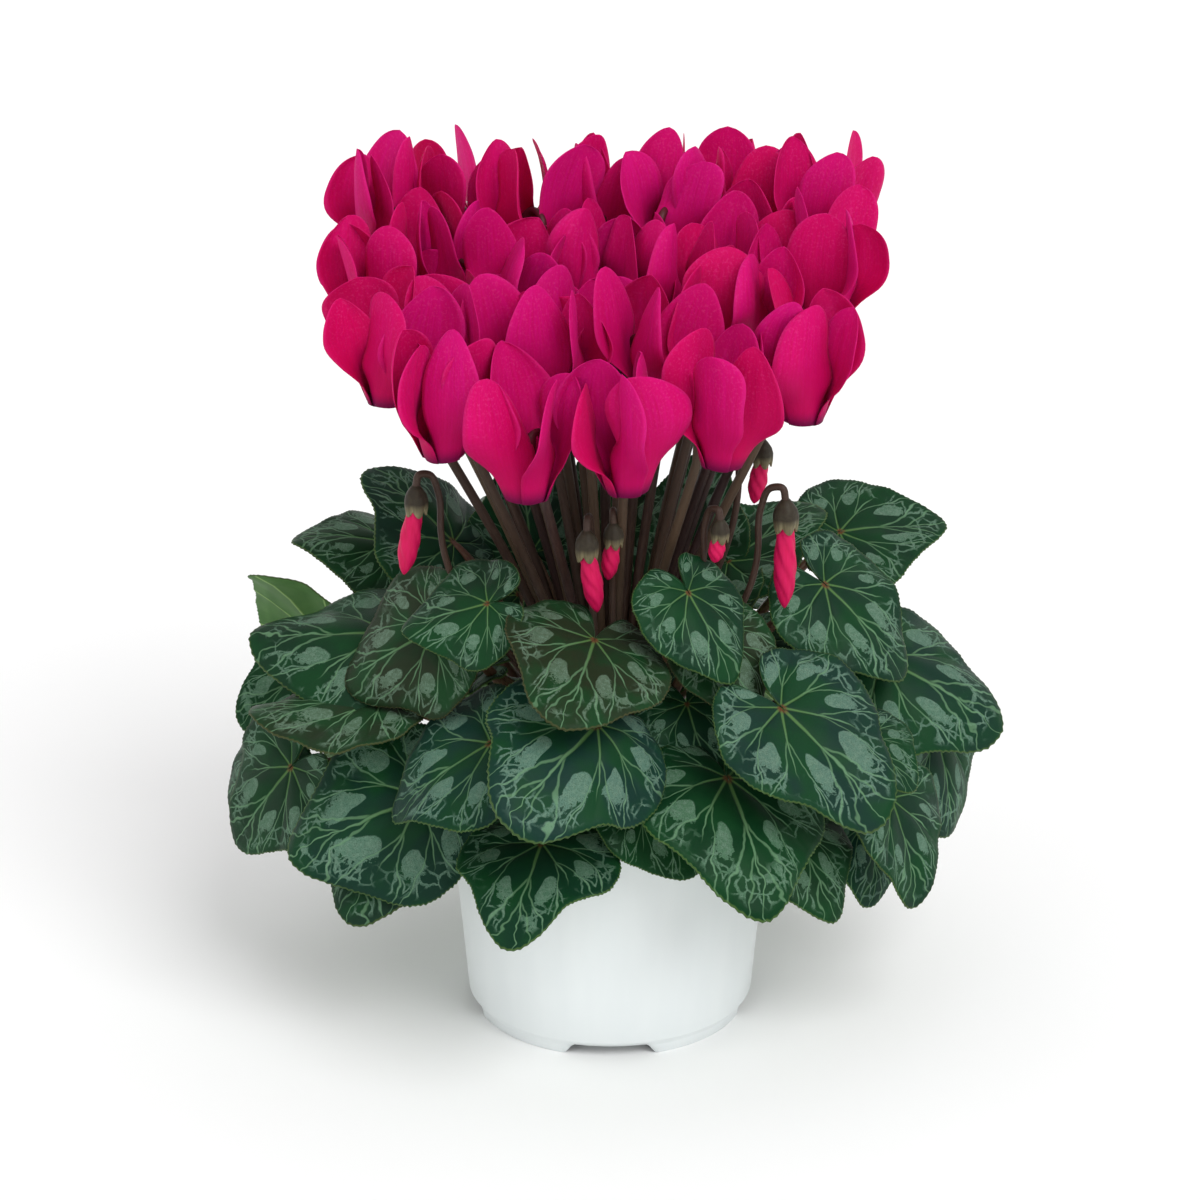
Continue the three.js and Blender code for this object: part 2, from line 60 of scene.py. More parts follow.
def perMetre(size):  # how often a pattern of this size in mm repeats in a metre
    return 1 / (size * metresPerMm)


def mainOutput(source):  # a socket as it is, or the first one that a node has in use
    if isinstance(source, bpy.types.NodeSocket):
        return source
    return next(socket for socket in source.outputs if socket.enabled)


def addNode(tree, kind, values):  # a node with its settings, and its inputs as values or links
    node = tree.nodes.new("ShaderNode" + kind)
    for key, value in values.items():
        if isinstance(key, str) and hasattr(node, key):
            setattr(node, key, value)
        elif isinstance(value, (bpy.types.Node, bpy.types.NodeSocket)):
            tree.links.new(mainOutput(value), node.inputs[key])
        else:
            node.inputs[key].default_value = value
    return node


smooth = {"interpolation_type": "SMOOTHSTEP"}  # a Map Range that eases in and out


def newMaterial(name, roughness, specular=0.5, ior=1.45):
    material = bpy.data.materials.new(name)
    material.use_nodes = True
    shader = material.node_tree.nodes["Principled BSDF"]
    shader.inputs["Roughness"].default_value = roughness
    shader.inputs["Specular IOR Level"].default_value = specular
    shader.inputs["IOR"].default_value = ior
    return material, material.node_tree, shader


def surfaceMap(tree):  # the piece's own map, and its numbers across and along the surface
    uv = addNode(tree, "UVMap", {"uv_map": "surface"})
    split = addNode(tree, "SeparateXYZ", {"Vector": uv})
    return uv, split.outputs["X"], split.outputs["Y"]


def paintedTones(tree):  # three shares that vary the colour from part to part
    tone = addNode(tree, "Attribute", {"attribute_name": "tone"})
    split = addNode(tree, "SeparateColor", {"Color": tone})
    return split.outputs["Red"], split.outputs["Green"], split.outputs["Blue"]


def layered(tree, colour, layers):  # colours laid over the first one, each by its share
    for share, paint in layers:
        values = {"data_type": "RGBA", 0: share}
        for key, value in ((6, colour), (7, paint)):
            values[key] = linearColour(value) if isinstance(value, str) else value
        colour = addNode(tree, "Mix", values)
    return colour


def dress(tree, shader, colour, height=None, strength=0, depth=0):  # depth of the bump in mm
    tree.links.new(mainOutput(colour), shader.inputs["Base Color"])
    if height:
        bump = addNode(tree, "Bump", {
            "Height": height, "Strength": strength, "Distance": depth * metresPerMm,
        })
        tree.links.new(mainOutput(bump), shader.inputs["Normal"])


def grainedMaterial(look):  # two colours mixed by one noise, which also lifts the surface
    material, tree, shader = newMaterial(look["name"], look["roughness"], look["specular"], look["ior"])
    place = addNode(tree, "TexCoord", {}).outputs["Object"]
    scales = [perMetre(size) for size in look["grain"]]
    perGrain = addNode(tree, "Mapping", {"Vector": place, "Scale": scales})
    grain = addNode(tree, "TexNoise", {"Vector": perGrain, "Scale": 1, "Detail": look["detail"]})
    dress(tree, shader, layered(tree, look["dark"], [(grain, look["pale"])]), grain, *look["bump"])
    return material


def smoothStep(low, high, x):
    t = np.clip((x - low) / (high - low), 0, 1)
    return t * t * (3 - 2 * t)


def throughPoints(places, values, x):  # smooth curve through a few control values
    places = np.asarray(places, float)
    values = np.asarray(values, float)
    slopes = np.gradient(values, places)
    i = np.clip(np.searchsorted(places, x, side="right") - 1, 0, len(places) - 2)
    step = places[i + 1] - places[i]
    t = (x - places[i]) / step
    return (
        (1 + 2 * t) * (1 - t) ** 2 * values[i]
        + t * (1 - t) ** 2 * step * slopes[i]
        + t * t * (3 - 2 * t) * values[i + 1]
        + t * t * (t - 1) * step * slopes[i + 1]
    )


def bezier(corners, steps):
    a, b, c, d = (np.asarray(p, float) for p in corners)
    t = np.linspace(0, 1, steps + 1)[:, None]
    return (1 - t) ** 3 * a + 3 * t * (1 - t) ** 2 * b + 3 * t * t * (1 - t) * c + t**3 * d


def smoothPath(points, stepsPerSpan):
    points = np.asarray(points, float)
    places = np.concatenate([[0], np.cumsum(np.linalg.norm(np.diff(points, axis=0), axis=1))])
    x = np.concatenate(
        [np.linspace(a, b, stepsPerSpan, endpoint=False) for a, b in zip(places, places[1:])]
        + [places[-1:]]
    )
    return np.stack([throughPoints(places, points[:, k], x) for k in range(3)], 1), x / places[-1]


def gridFaces(rows, columns, closed=False):  # quads of a grid, and where each corner lies in it
    last = columns if closed else columns - 1
    j, i = np.meshgrid(np.arange(rows - 1), np.arange(last), indexing="ij")
    rowOf = np.stack([j, j, j + 1, j + 1], -1).reshape(-1, 4)
    columnOf = np.stack([i, i + 1, i + 1, i], -1).reshape(-1, 4)
    return rowOf * columns + columnOf % columns, rowOf, columnOf


def makePiece(name, parts, materials, replaced=()):  # faces pick their material by finish
    points = []
    faces = []
    uvs = []
    tones = []
    finishes = []
    for part in parts:
        start = sum(len(p) for p in points)
        points.append(part["points"])
        tones.append(np.tile(part["tone"], (len(part["points"]), 1)))
        for corners, uv, finish in part["faces"]:
            faces.extend((corners + start).tolist())
            uvs.append(uv.reshape(-1, 2))
            finishes.extend([finish] * len(corners))
    allPoints = np.concatenate(points) * metresPerMm
    mesh = bpy.data.meshes.new(name)
    mesh.from_pydata(allPoints.tolist(), [], faces)
    mesh.uv_layers.new(name="surface").data.foreach_set("uv", np.concatenate(uvs).ravel())
    tone = mesh.color_attributes.new(name="tone", type="FLOAT_COLOR", domain="POINT")
    toneRows = np.concatenate(tones)
    tone.data.foreach_set("color", np.column_stack([toneRows, np.ones(len(toneRows))]).ravel())
    mesh.polygons.foreach_set("use_smooth", [True] * len(mesh.polygons))
    mesh.polygons.foreach_set("material_index", finishes)
    for material in materials:
        mesh.materials.append(material)
    mesh.update()
    piece = bpy.data.objects.new(name, mesh)
    bpy.context.scene.collection.objects.link(piece)
    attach(piece, "root")
    if replaced:
        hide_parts(*replaced)


def tubePart(path, radii, sides, tone=(0.5, 0.5, 0.5), ridges=None):  # closed at both ends
    path = np.asarray(path, float)
    radii = np.broadcast_to(np.asarray(radii, float), (len(path),))
    along = np.gradient(path, axis=0)
    along /= np.linalg.norm(along, axis=1)[:, None]
    side = np.array([1.0, 0.0, 0.0])
    rings = []
    for p, d, radius, k in zip(path, along, radii, range(len(path))):
        side = side - d * side.dot(d)
        side /= np.linalg.norm(side)
        up = np.cross(d, side)
        a = np.linspace(0, 2 * math.pi, sides, endpoint=False)
        r = radius * (ridges(a, k / (len(path) - 1)) if ridges else np.ones(sides))
        rings.append(p + r[:, None] * (np.cos(a)[:, None] * side + np.sin(a)[:, None] * up))
    points = np.concatenate(rings + [path[:1], path[-1:]])
    corners, row, column = gridFaces(len(path), sides, closed=True)
    uv = np.stack([column / sides, row / (len(path) - 1)], -1)
    n = np.arange(sides)
    m = (n + 1) % sides
    base = (len(path) - 1) * sides
    firstCap = np.stack([np.full(sides, len(points) - 2), m, n], 1)
    lastCap = np.stack([np.full(sides, len(points) - 1), base + n, base + m], 1)
    capUv = np.zeros((sides, 3, 2))
    faces = [(corners, uv, 0), (firstCap, capUv, 0), (lastCap, capUv + [0, 1], 0)]
    return {"points": points, "faces": faces, "tone": tone}


# An outline of radius and height, turned round +Z; shape may then move its points
def turnedPart(outline, sides, finish=0, tone=(0.5, 0.5, 0.5), shape=None):
    outline = np.asarray(outline, float)
    rows = len(outline)
    a = np.linspace(0, 2 * math.pi, sides, endpoint=False)
    radius = np.repeat(outline[:, :1], sides, 1)
    height = np.repeat(outline[:, 1:], sides, 1)
    if shape:
        radius, height = shape(a[None, :], radius, height)
    points = np.stack([radius * np.cos(a), radius * np.sin(a), height], -1).reshape(-1, 3)
    corners, row, column = gridFaces(rows, sides, closed=True)
    lengths = np.concatenate([[0], np.cumsum(np.linalg.norm(np.diff(outline, axis=0), axis=1))])
    uv = np.stack([column / sides, lengths[row] / lengths[-1]], -1)
    return {"points": points, "faces": [(corners, uv, finish)], "tone": tone}


# Camera, light and floor

studio = {
    "target": (-4, 0, 170),
    "elevation": 22.5,
    "distance": 2000,
    "lens": 155.7,
    "floorColour": "f7f7f7",
    "floorReach": 4.5,  # metres of flat floor before the paper sweeps up
    "sweepHeight": 1.5,
    "floorSides": 96,
    "worldStrength": 0.76,
    "lamps": [  # name, where the light comes from, spread in degrees, strength
        ("keyLight", (0.85, -1.3, 1.65), 35, 1.62),
        ("fillLight", (-1.2, -1.0, 1.0), 50, 0.22),
    ],
}


def buildStudio():
    scene = bpy.context.scene
    scene.view_settings.view_transform = "Standard"
    target = np.array(studio["target"]) * metresPerMm
    e = math.radians(studio["elevation"])
    reach = studio["distance"] * metresPerMm
    camera = bpy.data.cameras.new("camera")
    camera.lens = studio["lens"]
    camera.sensor_width = 36
    cameraObject = bpy.data.objects.new("camera", camera)
    cameraObject.location = target + reach * np.array([0, -math.cos(e), math.sin(e)])
    cameraObject.rotation_euler = (math.pi / 2 - e, 0, 0)
    scene.collection.objects.link(cameraObject)
    scene.camera = cameraObject

    world = bpy.data.worlds.new("studioLight")
    world.use_nodes = True
    background = world.node_tree.nodes["Background"]
    background.inputs["Color"].default_value = (1, 1, 1, 1)
    background.inputs["Strength"].default_value = studio["worldStrength"]
    scene.world = world

    for name, place, spread, strength in studio["lamps"]:
        lamp = bpy.data.lights.new(name, "SUN")
        lamp.angle = math.radians(spread)
        lamp.energy = strength
        lampObject = bpy.data.objects.new(name, lamp)
        lampObject.location = place
        lampObject.rotation_euler = (-lampObject.location).to_track_quat("-Z", "Y").to_euler()
        scene.collection.objects.link(lampObject)

    # a round sheet of paper that sweeps up into a low wall far from the plant
    sweep = np.linspace(0, math.pi / 2, 13)
    reach, high, sides = studio["floorReach"], studio["sweepHeight"], studio["floorSides"]
    profile = [(0.3, 0), (1.5, 0), (3, 0)]
    profile += [(reach + high * math.sin(a), high - high * math.cos(a)) for a in sweep]
    around = np.linspace(0, 2 * math.pi, sides, endpoint=False)
    points = [(r * math.cos(a), r * math.sin(a), z) for r, z in profile for a in around]
    corners = gridFaces(len(profile), sides, closed=True)[0]
    mesh = bpy.data.meshes.new("floor")
    mesh.from_pydata(points, [], [tuple(range(sides))] + corners[:, ::-1].tolist())
    mesh.polygons.foreach_set("use_smooth", [True] * len(mesh.polygons))
    floor = bpy.data.objects.new("floor", mesh)
    material, _, shader = newMaterial("matt studio paper", 0.9, 0.1)
    shader.inputs["Base Color"].default_value = linearColour(studio["floorColour"])
    mesh.materials.append(material)
    scene.collection.objects.link(floor)


buildStudio()
print("studio ready")


# Leaves: heart-shaped blades on brown-red stalks

leafLook = {
    "columns": 240,
    "topRings": 16,
    "underRings": 4,
    "teethEvery": 2,  # columns to a tooth
    "toothDepth": 0.009,  # in blade lengths
    "thickness": 0.7,
    "outline": (0.615, 0.2, 0.19, 0.45),  # round body, egg shape, tip and bay, in blade lengths
    "stalkSpot": (0.06, 0),  # where the stalk joins the blade, in blade lengths
    "wave": 0.05,
    "waveLobes": 5,
    "veinGroove": 0.3,
    "puff": 0.016,  # rise of the blade between two veins, in blade lengths
    "petioleRadius": 1.5,
    "chances": {  # what differs from leaf to leaf
        "tipWidth": (14, 24), "bayWidth": (12, 19),  # degrees
        "flank": (0.02, 0.085), "fold": (-0.24, 0.16), "tipCurl": (-0.1, 0.5), "lobeLift": (-0.12, 0.2),
    },
    "veinWidth": (0.0145, 0.006),  # half of it at the stalk and at the edge, in blade radii
    "patterns": {  # real size in mm, detail and roughness
        "drift": (16.67, 2, 0.5),  # broad changes of green
        "crumbs": (1.786, 4, 0.7),  # ragged edge of the silver
        "skin": (0.3846, 2, 0.5),  # cells of the skin, coarser than real ones so that they show
        "sway": (11.76, 2, 0.5),  # bends of the veins
        "girth": (19.23, 2, 0.5),  # width of the silver ovals
        "patches": (23.81, 2, 0.5),  # where the silver is fuller
        "netPatches": (13.33, 2, 0.5),  # where the silver net shows
        "warp": (3.846, 2, 0.5),  # bends of the net
    },
    "underBlotch": 7.143,  # mm across a paler blotch of the under side
    "netCell": 6.061,  # mm from one cell of the silver net to the next
    "netWarp": 3,  # mm by which its lines wander
    "branches": [  # name, what it grows from, where it leaves in blade radii, how far it spreads
        ("fork", "vein", 0.36, 0.62), ("side", "vein", 0.6, 0.5), ("twig", "fork", 0.72, 0.42),
    ],
    "green": "0b3215",
    "blueGreen": "143430",
    "brownGreen": "2a2f20",
    "driftGreen": "143f20",
    "centreGreen": "0f2c1a",
    "silver": "567d5e",
    "blueSilver": "668a7c",
    "brownSilver": "5f6959",
    "paleSilver": "7c9985",
    "innerVein": "557a40",
    "outerVein": "658c68",
    "greenRim": "55713a",
    "brownRim": "4a3a2c",
    "stalkRed": "663628",
    "underside": ("38602e", "527a3e", "84a562"),  # flesh, its blotches, ribs
}

# Angle from the midrib at which each main vein leaves, by its number
veinAngles = [0, 41, 84, 128, 172, 200]

# Sprigs: ring and angle of their foot, then for each leaf the place of its stalk,
# length, heading, dip, roll, and sag of the tip and of the sides
sprigTable = [
    [18, -112, [-46, -54, 191, 36, 170, 18, -41, 0.1, 0.1], [-6, -60, 179, 50, -100, 8, -20, 0.15, 0.15]],
    [18, -57, [29, -50, 194, 38, -41, 49, 8, 0.1, 0.15], [39, -41, 173.5, 36, -50, 50, 8, 0.15, 0.15]],
    [18, -5, [82, -8, 180, 47, -22, 37, 21, 0.15, 0.15], [90, 46, 180, 44, 15, -4, 26, 0.1, 0.15]],
    [18, 150, [-61, 30, 182, 43, 163, -45, -20, 0.1, 0.1], [-87, 60, 170, 38, -174, -13, -19, 0.1, 0.15]],
    [18, -165, [-67, -44, 176, 46, 164, 33, -55, 0.15, 0.2], [-87, -11, 161, 55, 166, 6, -22, 0.1, 0.15]],
    [18, 38, [46, 35, 172, 43, 19, -30, 16, 0.1, 0.1]],
    [24, -102, [-5, -80, 153, 57, -122, 13, -35, 0.15, 0.15], [-26, -75, 102, 48, -105, 17, 0, 0.15, 0.15]],
    [24, -130, [-45, -70, 141, 50, 179, 31, -26, 0.15, 0.15],
     [-72, -46, 107.5, 56, -174, 20, -50, 0.15, 0.15]],
    [24, -157, [-88, -28, 142, 50, -176, 4, -3, 0.1, 0.2], [-83, -28, 95, 48, -122, 40, 0, 0.15, 0.1]],
    [24, 178, [-124, -10, 104, 46, 165, 52, -52, 0.15, 0.15], [-134, 27, 97, 40, 172, 56, -40, 0.15, 0.15]],
    [24, 155, [-118, 34, 127, 36, -168, 29, -33, 0.15, 0.15], [-114, 55, 130, 46, -150, -60, 20, 0.1, 0.1]],
    [24, -46, [64, -62, 152, 57, -33, 31, 14, 0.15, 0.15], [44, -66, 125, 58, -70, 28, -8, 0.15, 0.15]],
    [24, -78, [12, -70, 118, 36, -22, 50, 34, 0.15, 0.15]],
    [24, -32, [68, -55, 100, 40, -50, 39, 5, 0.15, 0.15], [97, -40, 131, 28, -44, 24, 14, 0.15, 0.15]],
    [24, -10, [101, -20, 92, 38, -74, 60, -30, 0.15, 0.15], [108, -35, 102, 43, -43, 60, -8, 0.15, 0.15]],
    [24, 12, [105, 4, 144, 55, -8, 24, 30, 0.15, 0.25], [128, 18, 109, 44, -55, 65, -20, 0.15, 0.15]],
    [18, 72, [8, 64, 172, 38, 82, -10, 0, 0.1, 0.15], [36, 72, 146, 48, 60, 16, 0, 0.15, 0.15]],
    [18, 108, [-28, 60, 176, 38, 120, -14, 0, 0.1, 0.15], [-42, 74, 148, 48, 118, 16, 0, 0.15, 0.15]],
    [24, 35, [70, 66, 128, 52, 40, 28, 0, 0.15, 0.15], [94, 46, 100, 46, 20, 45, 0, 0.15, 0.15]],
    [24, 60, [46, 92, 104, 48, 64, 42, 0, 0.15, 0.15]],
    [24, 86, [2, 80, 134, 54, 90, 26, 0, 0.15, 0.15], [4, 96, 100, 48, 92, 48, 0, 0.15, 0.15]],
    [24, 119, [-44, 92, 104, 50, 116, 42, 0, 0.15, 0.15]],
    [24, 136, [-76, 84, 132, 52, 128, 28, 0, 0.15, 0.15], [-92, 78, 98, 46, 142, 48, 0, 0.15, 0.15]],
]

plant = {
    "tuberTop": 95,
    "crownTop": 98.5,  # top of the plate that the flower stems rise from
    "potHeight": 100,
    "sprigFoot": 3,  # height over the tuber at which the stalks of a sprig meet
    "gap": 0.3,  # air between pieces that would else touch
}


def outlineRadius(theta, leaf):
    a = np.degrees(np.abs(theta))
    body, egg, tipReach, bayDepth = leafLook["outline"]
    tip = tipReach * np.exp(-((a / leaf["tipWidth"]) ** 2))
    bay = bayDepth * np.exp(-(((180 - a) / leaf["bayWidth"]) ** 2))
    uneven = 0.018 * np.sin(2 * theta + leaf["turn"]) * np.sin(theta)
    uneven = uneven + 0.012 * np.sin(5 * theta + 3 * leaf["turn"])
    flank = leaf["flank"] * np.exp(-(((a - 40) / 17) ** 2))
    return body + egg * np.cos(theta) + tip - bay - flank + uneven * smoothStep(180, 150, a)


def bladeAxes(head, dip, roll):
    h, d, r = (math.radians(v) for v in (head, dip, roll))
    along = np.array([math.cos(d) * math.cos(h), math.cos(d) * math.sin(h), -math.sin(d)])
    level = np.array([-math.sin(h), math.cos(h), 0])
    up = np.cross(along, level)
    across = level * math.cos(r) + up * math.sin(r)
    return along, across, np.cross(along, across)


def veinNumber(theta, rho):  # whole numbers lie on the main veins, which bend towards the tip
    degrees = np.degrees(np.abs(theta)) + 9 * rho**2 * np.abs(np.sin(theta))
    return np.sign(theta) * np.interp(degrees, veinAngles, range(len(veinAngles)))


def bladeRelief(leaf, theta, rho, x, y):  # height over the flat plane, in blade lengths
    reach = np.hypot(x, y)
    wave = leafLook["wave"] * reach**2 * np.sin(leafLook["waveLobes"] * theta + leaf["turn"])
    # two finer waves that show only near the edge
    edge = 0.012 * rho**5 * np.sin(9 * theta + 2 * leaf["turn"])
    edge += 0.006 * rho**6 * np.sin(17 * theta + 5 * leaf["turn"])
    number = veinNumber(theta, rho)
    off = np.abs(number - np.round(number))
    groove = np.exp(-((off * np.maximum(rho, 0.06) / 0.03) ** 2))
    groove = groove * (1 - 0.75 * rho) * smoothStep(0, 0.15, rho)
    puff = leafLook["puff"] * np.sin(math.pi * off) ** 0.8
    puff = puff * smoothStep(0.04, 0.45, rho) * smoothStep(1.05, 0.7, rho)
    sag = leaf["droop"] * x * x + leaf["arch"] * y * y
    fold = leaf["fold"] * (np.sqrt(y * y + 0.005) - 0.07) * smoothStep(0.0, 0.35, reach)
    tip = leaf["tipCurl"] * np.maximum(x - 0.5, 0) ** 2
    lobes = leaf["lobeLift"] * np.maximum(-x, 0) * smoothStep(0.1, 0.5, reach)
    return wave + edge + puff - leafLook["veinGroove"] / leaf["length"] * groove - sag + fold - tip + lobes


def bladePart(leaf):
    columns = leafLook["columns"]
    theta = np.linspace(-math.pi, math.pi, columns, endpoint=False)
    along, across, up = leaf["axes"]
    phase = np.arange(columns) % leafLook["teethEvery"]
    tooth = leafLook["toothDepth"] * phase * (1 + 0.4 * np.sin(37 * theta + leaf["turn"]))
    tooth *= smoothStep(0, 14, 180 - np.degrees(np.abs(theta)))
    n = np.arange(columns)
    m = (n + 1) % columns

    def sheet(rings, lift):  # one side of the blade: its points, quads and the fan in its middle
        rho = np.concatenate([[0.0], np.linspace(0, 1, rings + 1)[1:] ** 0.85])
        r = rho[1:, None] * outlineRadius(theta, leaf) + tooth * smoothStep(0.88, 1, rho[1:, None])
        x = np.concatenate([[0.0], (r * np.cos(theta)).ravel()])
        y = np.concatenate([[0.0], (r * np.sin(theta)).ravel()])
        flatRho = np.concatenate([[0.0], np.repeat(rho[1:], columns)])
        flatTheta = np.concatenate([[0.0], np.tile(theta, rings)])
        z = leaf["length"] * bladeRelief(leaf, flatTheta, flatRho, x, y) + lift
        points = leaf["stalk"] + leaf["length"] * (x[:, None] * along + y[:, None] * across) + z[:, None] * up
        corners, row, column = gridFaces(rings, columns, closed=True)
        cornerTheta = -math.pi + 2 * math.pi * column / columns
        uv = np.stack([veinNumber(cornerTheta, rho[row + 1]), rho[row + 1]], -1)
        fan = np.stack([np.zeros(columns, int), 1 + n, 1 + m], 1)
        fanTheta = -math.pi + 2 * math.pi * np.stack([n + 0.5, n, n + 1], 1) / columns
        fanRho = np.tile([0.0, rho[1], rho[1]], (columns, 1))
        fanUv = np.stack([veinNumber(fanTheta, fanRho), fanRho], -1)
        return points, corners[:, ::-1] + 1, uv[:, ::-1], fan, fanUv

    top, topQuads, topUv, topFan, topFanUv = sheet(leafLook["topRings"], 0)
    under, underQuads, underUv, underFan, underFanUv = sheet(leafLook["underRings"], -leafLook["thickness"])
    topRim = 1 + (leafLook["topRings"] - 1) * columns
    underRim = len(top) + 1 + (leafLook["underRings"] - 1) * columns
    rim = np.stack([topRim + n, underRim + n, underRim + m, topRim + m], 1)
    rimUv = np.stack([np.tile(veinNumber(theta, 1.0)[:, None], (1, 4)), np.ones((columns, 4))], -1)
    faces = [
        (topQuads, topUv, 0), (topFan, topFanUv, 0), (rim, rimUv, 0),
        (underQuads[:, ::-1] + len(top), underUv[:, ::-1], 1),
        (underFan[:, ::-1] + len(top), underFanUv[:, ::-1], 1),
    ]
    return {"points": np.concatenate([top, under]), "faces": faces, "tone": leaf["tone"]}


def petiolePart(leaf):  # the stalk, from under the blade down to the foot of its sprig
    along, across, up = leaf["axes"]
    x, y = leafLook["stalkSpot"]
    drop = -(leaf["droop"] * x * x + leaf["arch"] * y * y) * leaf["length"] - 1.5
    end = leaf["stalk"] + leaf["length"] * (x * along + y * across) + drop * up
    outward = np.array([end[0] - leaf["base"][0], end[1] - leaf["base"][1], 0])
    over = max(end[2] - 6, plant["potHeight"] + 12)
    rise = leaf["base"] + [0, 0, 0.4 * (over - leaf["base"][2])] + 0.22 * outward
    arch = np.array([end[0], end[1], over]) - 0.3 * outward
    path = bezier([end, arch, rise, leaf["base"]], 22)
    share = np.linspace(0, 1, len(path))
    radii = leafLook["petioleRadius"] * throughPoints([0, 0.08, 1], [0.62, 0.9, 1.1], share)
    return tubePart(path, radii, 9, tone=stemLook["evenTone"])


# Young leaves between the flower stems: place, length, heading, dip and roll
youngTable = [
    [-36, 34, 158, 36, 112, -48, 5], [-12, 40, 156, 36, 88, -52, -6], [14, 36, 160, 34, 78, -48, 8],
    [40, 24, 160, 32, 52, -42, -8], [-54, 12, 158, 30, 146, -38, 6], [26, 4, 140, 26, -20, -20, 10],
    [-24, -8, 136, 26, 200, -18, 0], [0, 52, 177, 38, 90, -66, -5], [-20, 8, 150, 24, 130, -50, 12],
    [14, 10, 148, 24, 60, -52, -10],
    [-46, -16, 149, 30, 150, 22, -10], [59, 2, 151, 34, -15, 12, 18], [29, -40, 144, 33, -72, 36, 8],
    [-31, 44, 172, 38, 104, -66, 6], [31, 44, 173, 38, 73, -66, -6],
]

# Leaves that are bluer, browner or more silver than their neighbours, by sprig and
# place in it: shares of blue, brown and silver
leafTones = {
    (1, 0): (0.35, 0.25, 0.30), (1, 1): (0.15, 0.75, 0.55), (2, 0): (0.35, 0.10, 0.55),
    (2, 1): (0.15, 0.70, 0.60), (3, 0): (0.45, 0.15, 0.55), (3, 1): (0.40, 0.20, 0.55),
    (5, 0): (0.30, 0.75, 0.70), (5, 1): (0.35, 0.20, 0.50), (7, 0): (0.85, 0.10, 0.80),
    (7, 1): (0.35, 0.05, 0.50), (8, 0): (0.75, 0.05, 0.60), (8, 1): (0.60, 0.10, 0.75),
    (9, 0): (0.20, 0.65, 0.50), (12, 0): (0.80, 0.15, 0.75), (12, 1): (0.15, 0.00, 0.50),
    (13, 0): (0.10, 0.05, 0.45),
}


def newLeaf(sprig, ring, foot, row, turn, tone):  # a table's row with the leaf's own chances
    x, y, z, length, head, dip, roll, droop, arch = row
    a = math.radians(foot)
    leaf = {
        "sprig": sprig,
        "stalk": np.array([x, y, z], float),
        "base": np.array([ring * math.cos(a), ring * math.sin(a), plant["tuberTop"] + plant["sprigFoot"]]),
        "length": length,
        "axes": bladeAxes(head, dip, roll),
        "droop": droop,
        "arch": arch,
        "turn": turn,
        "tone": tone,
    }
    for name, span in leafLook["chances"].items():
        leaf[name] = randomDraws.uniform(*span)
    return leaf


def readLeaves():
    leaves = []
    for i, (ring, foot, *rows) in enumerate(sprigTable):
        for k, row in enumerate(rows):
            drawn = tuple(randomDraws.uniform([0.15, 0.0, 0.35], [0.7, 0.35, 0.7]))
            tone = leafTones.get((i + 1, k), drawn)
            leaves.append(newLeaf(i + 1, ring, foot, row, i * 1.7 + k, tone))
    return leaves


def readYoungLeaves():
    leaves = []
    for i, (x, y, z, length, head, dip, roll) in enumerate(youngTable):
        foot = math.degrees(math.atan2(y, x))
        row = [x, y, z, length, head, dip, roll, 0.1, 0.1]
        tone = tuple(randomDraws.uniform([0.1, 0.1, 0.3], [0.5, 0.5, 0.6]))
        leaves.append(newLeaf(0, 10, foot, row, 2.3 * i, tone))
    return leaves


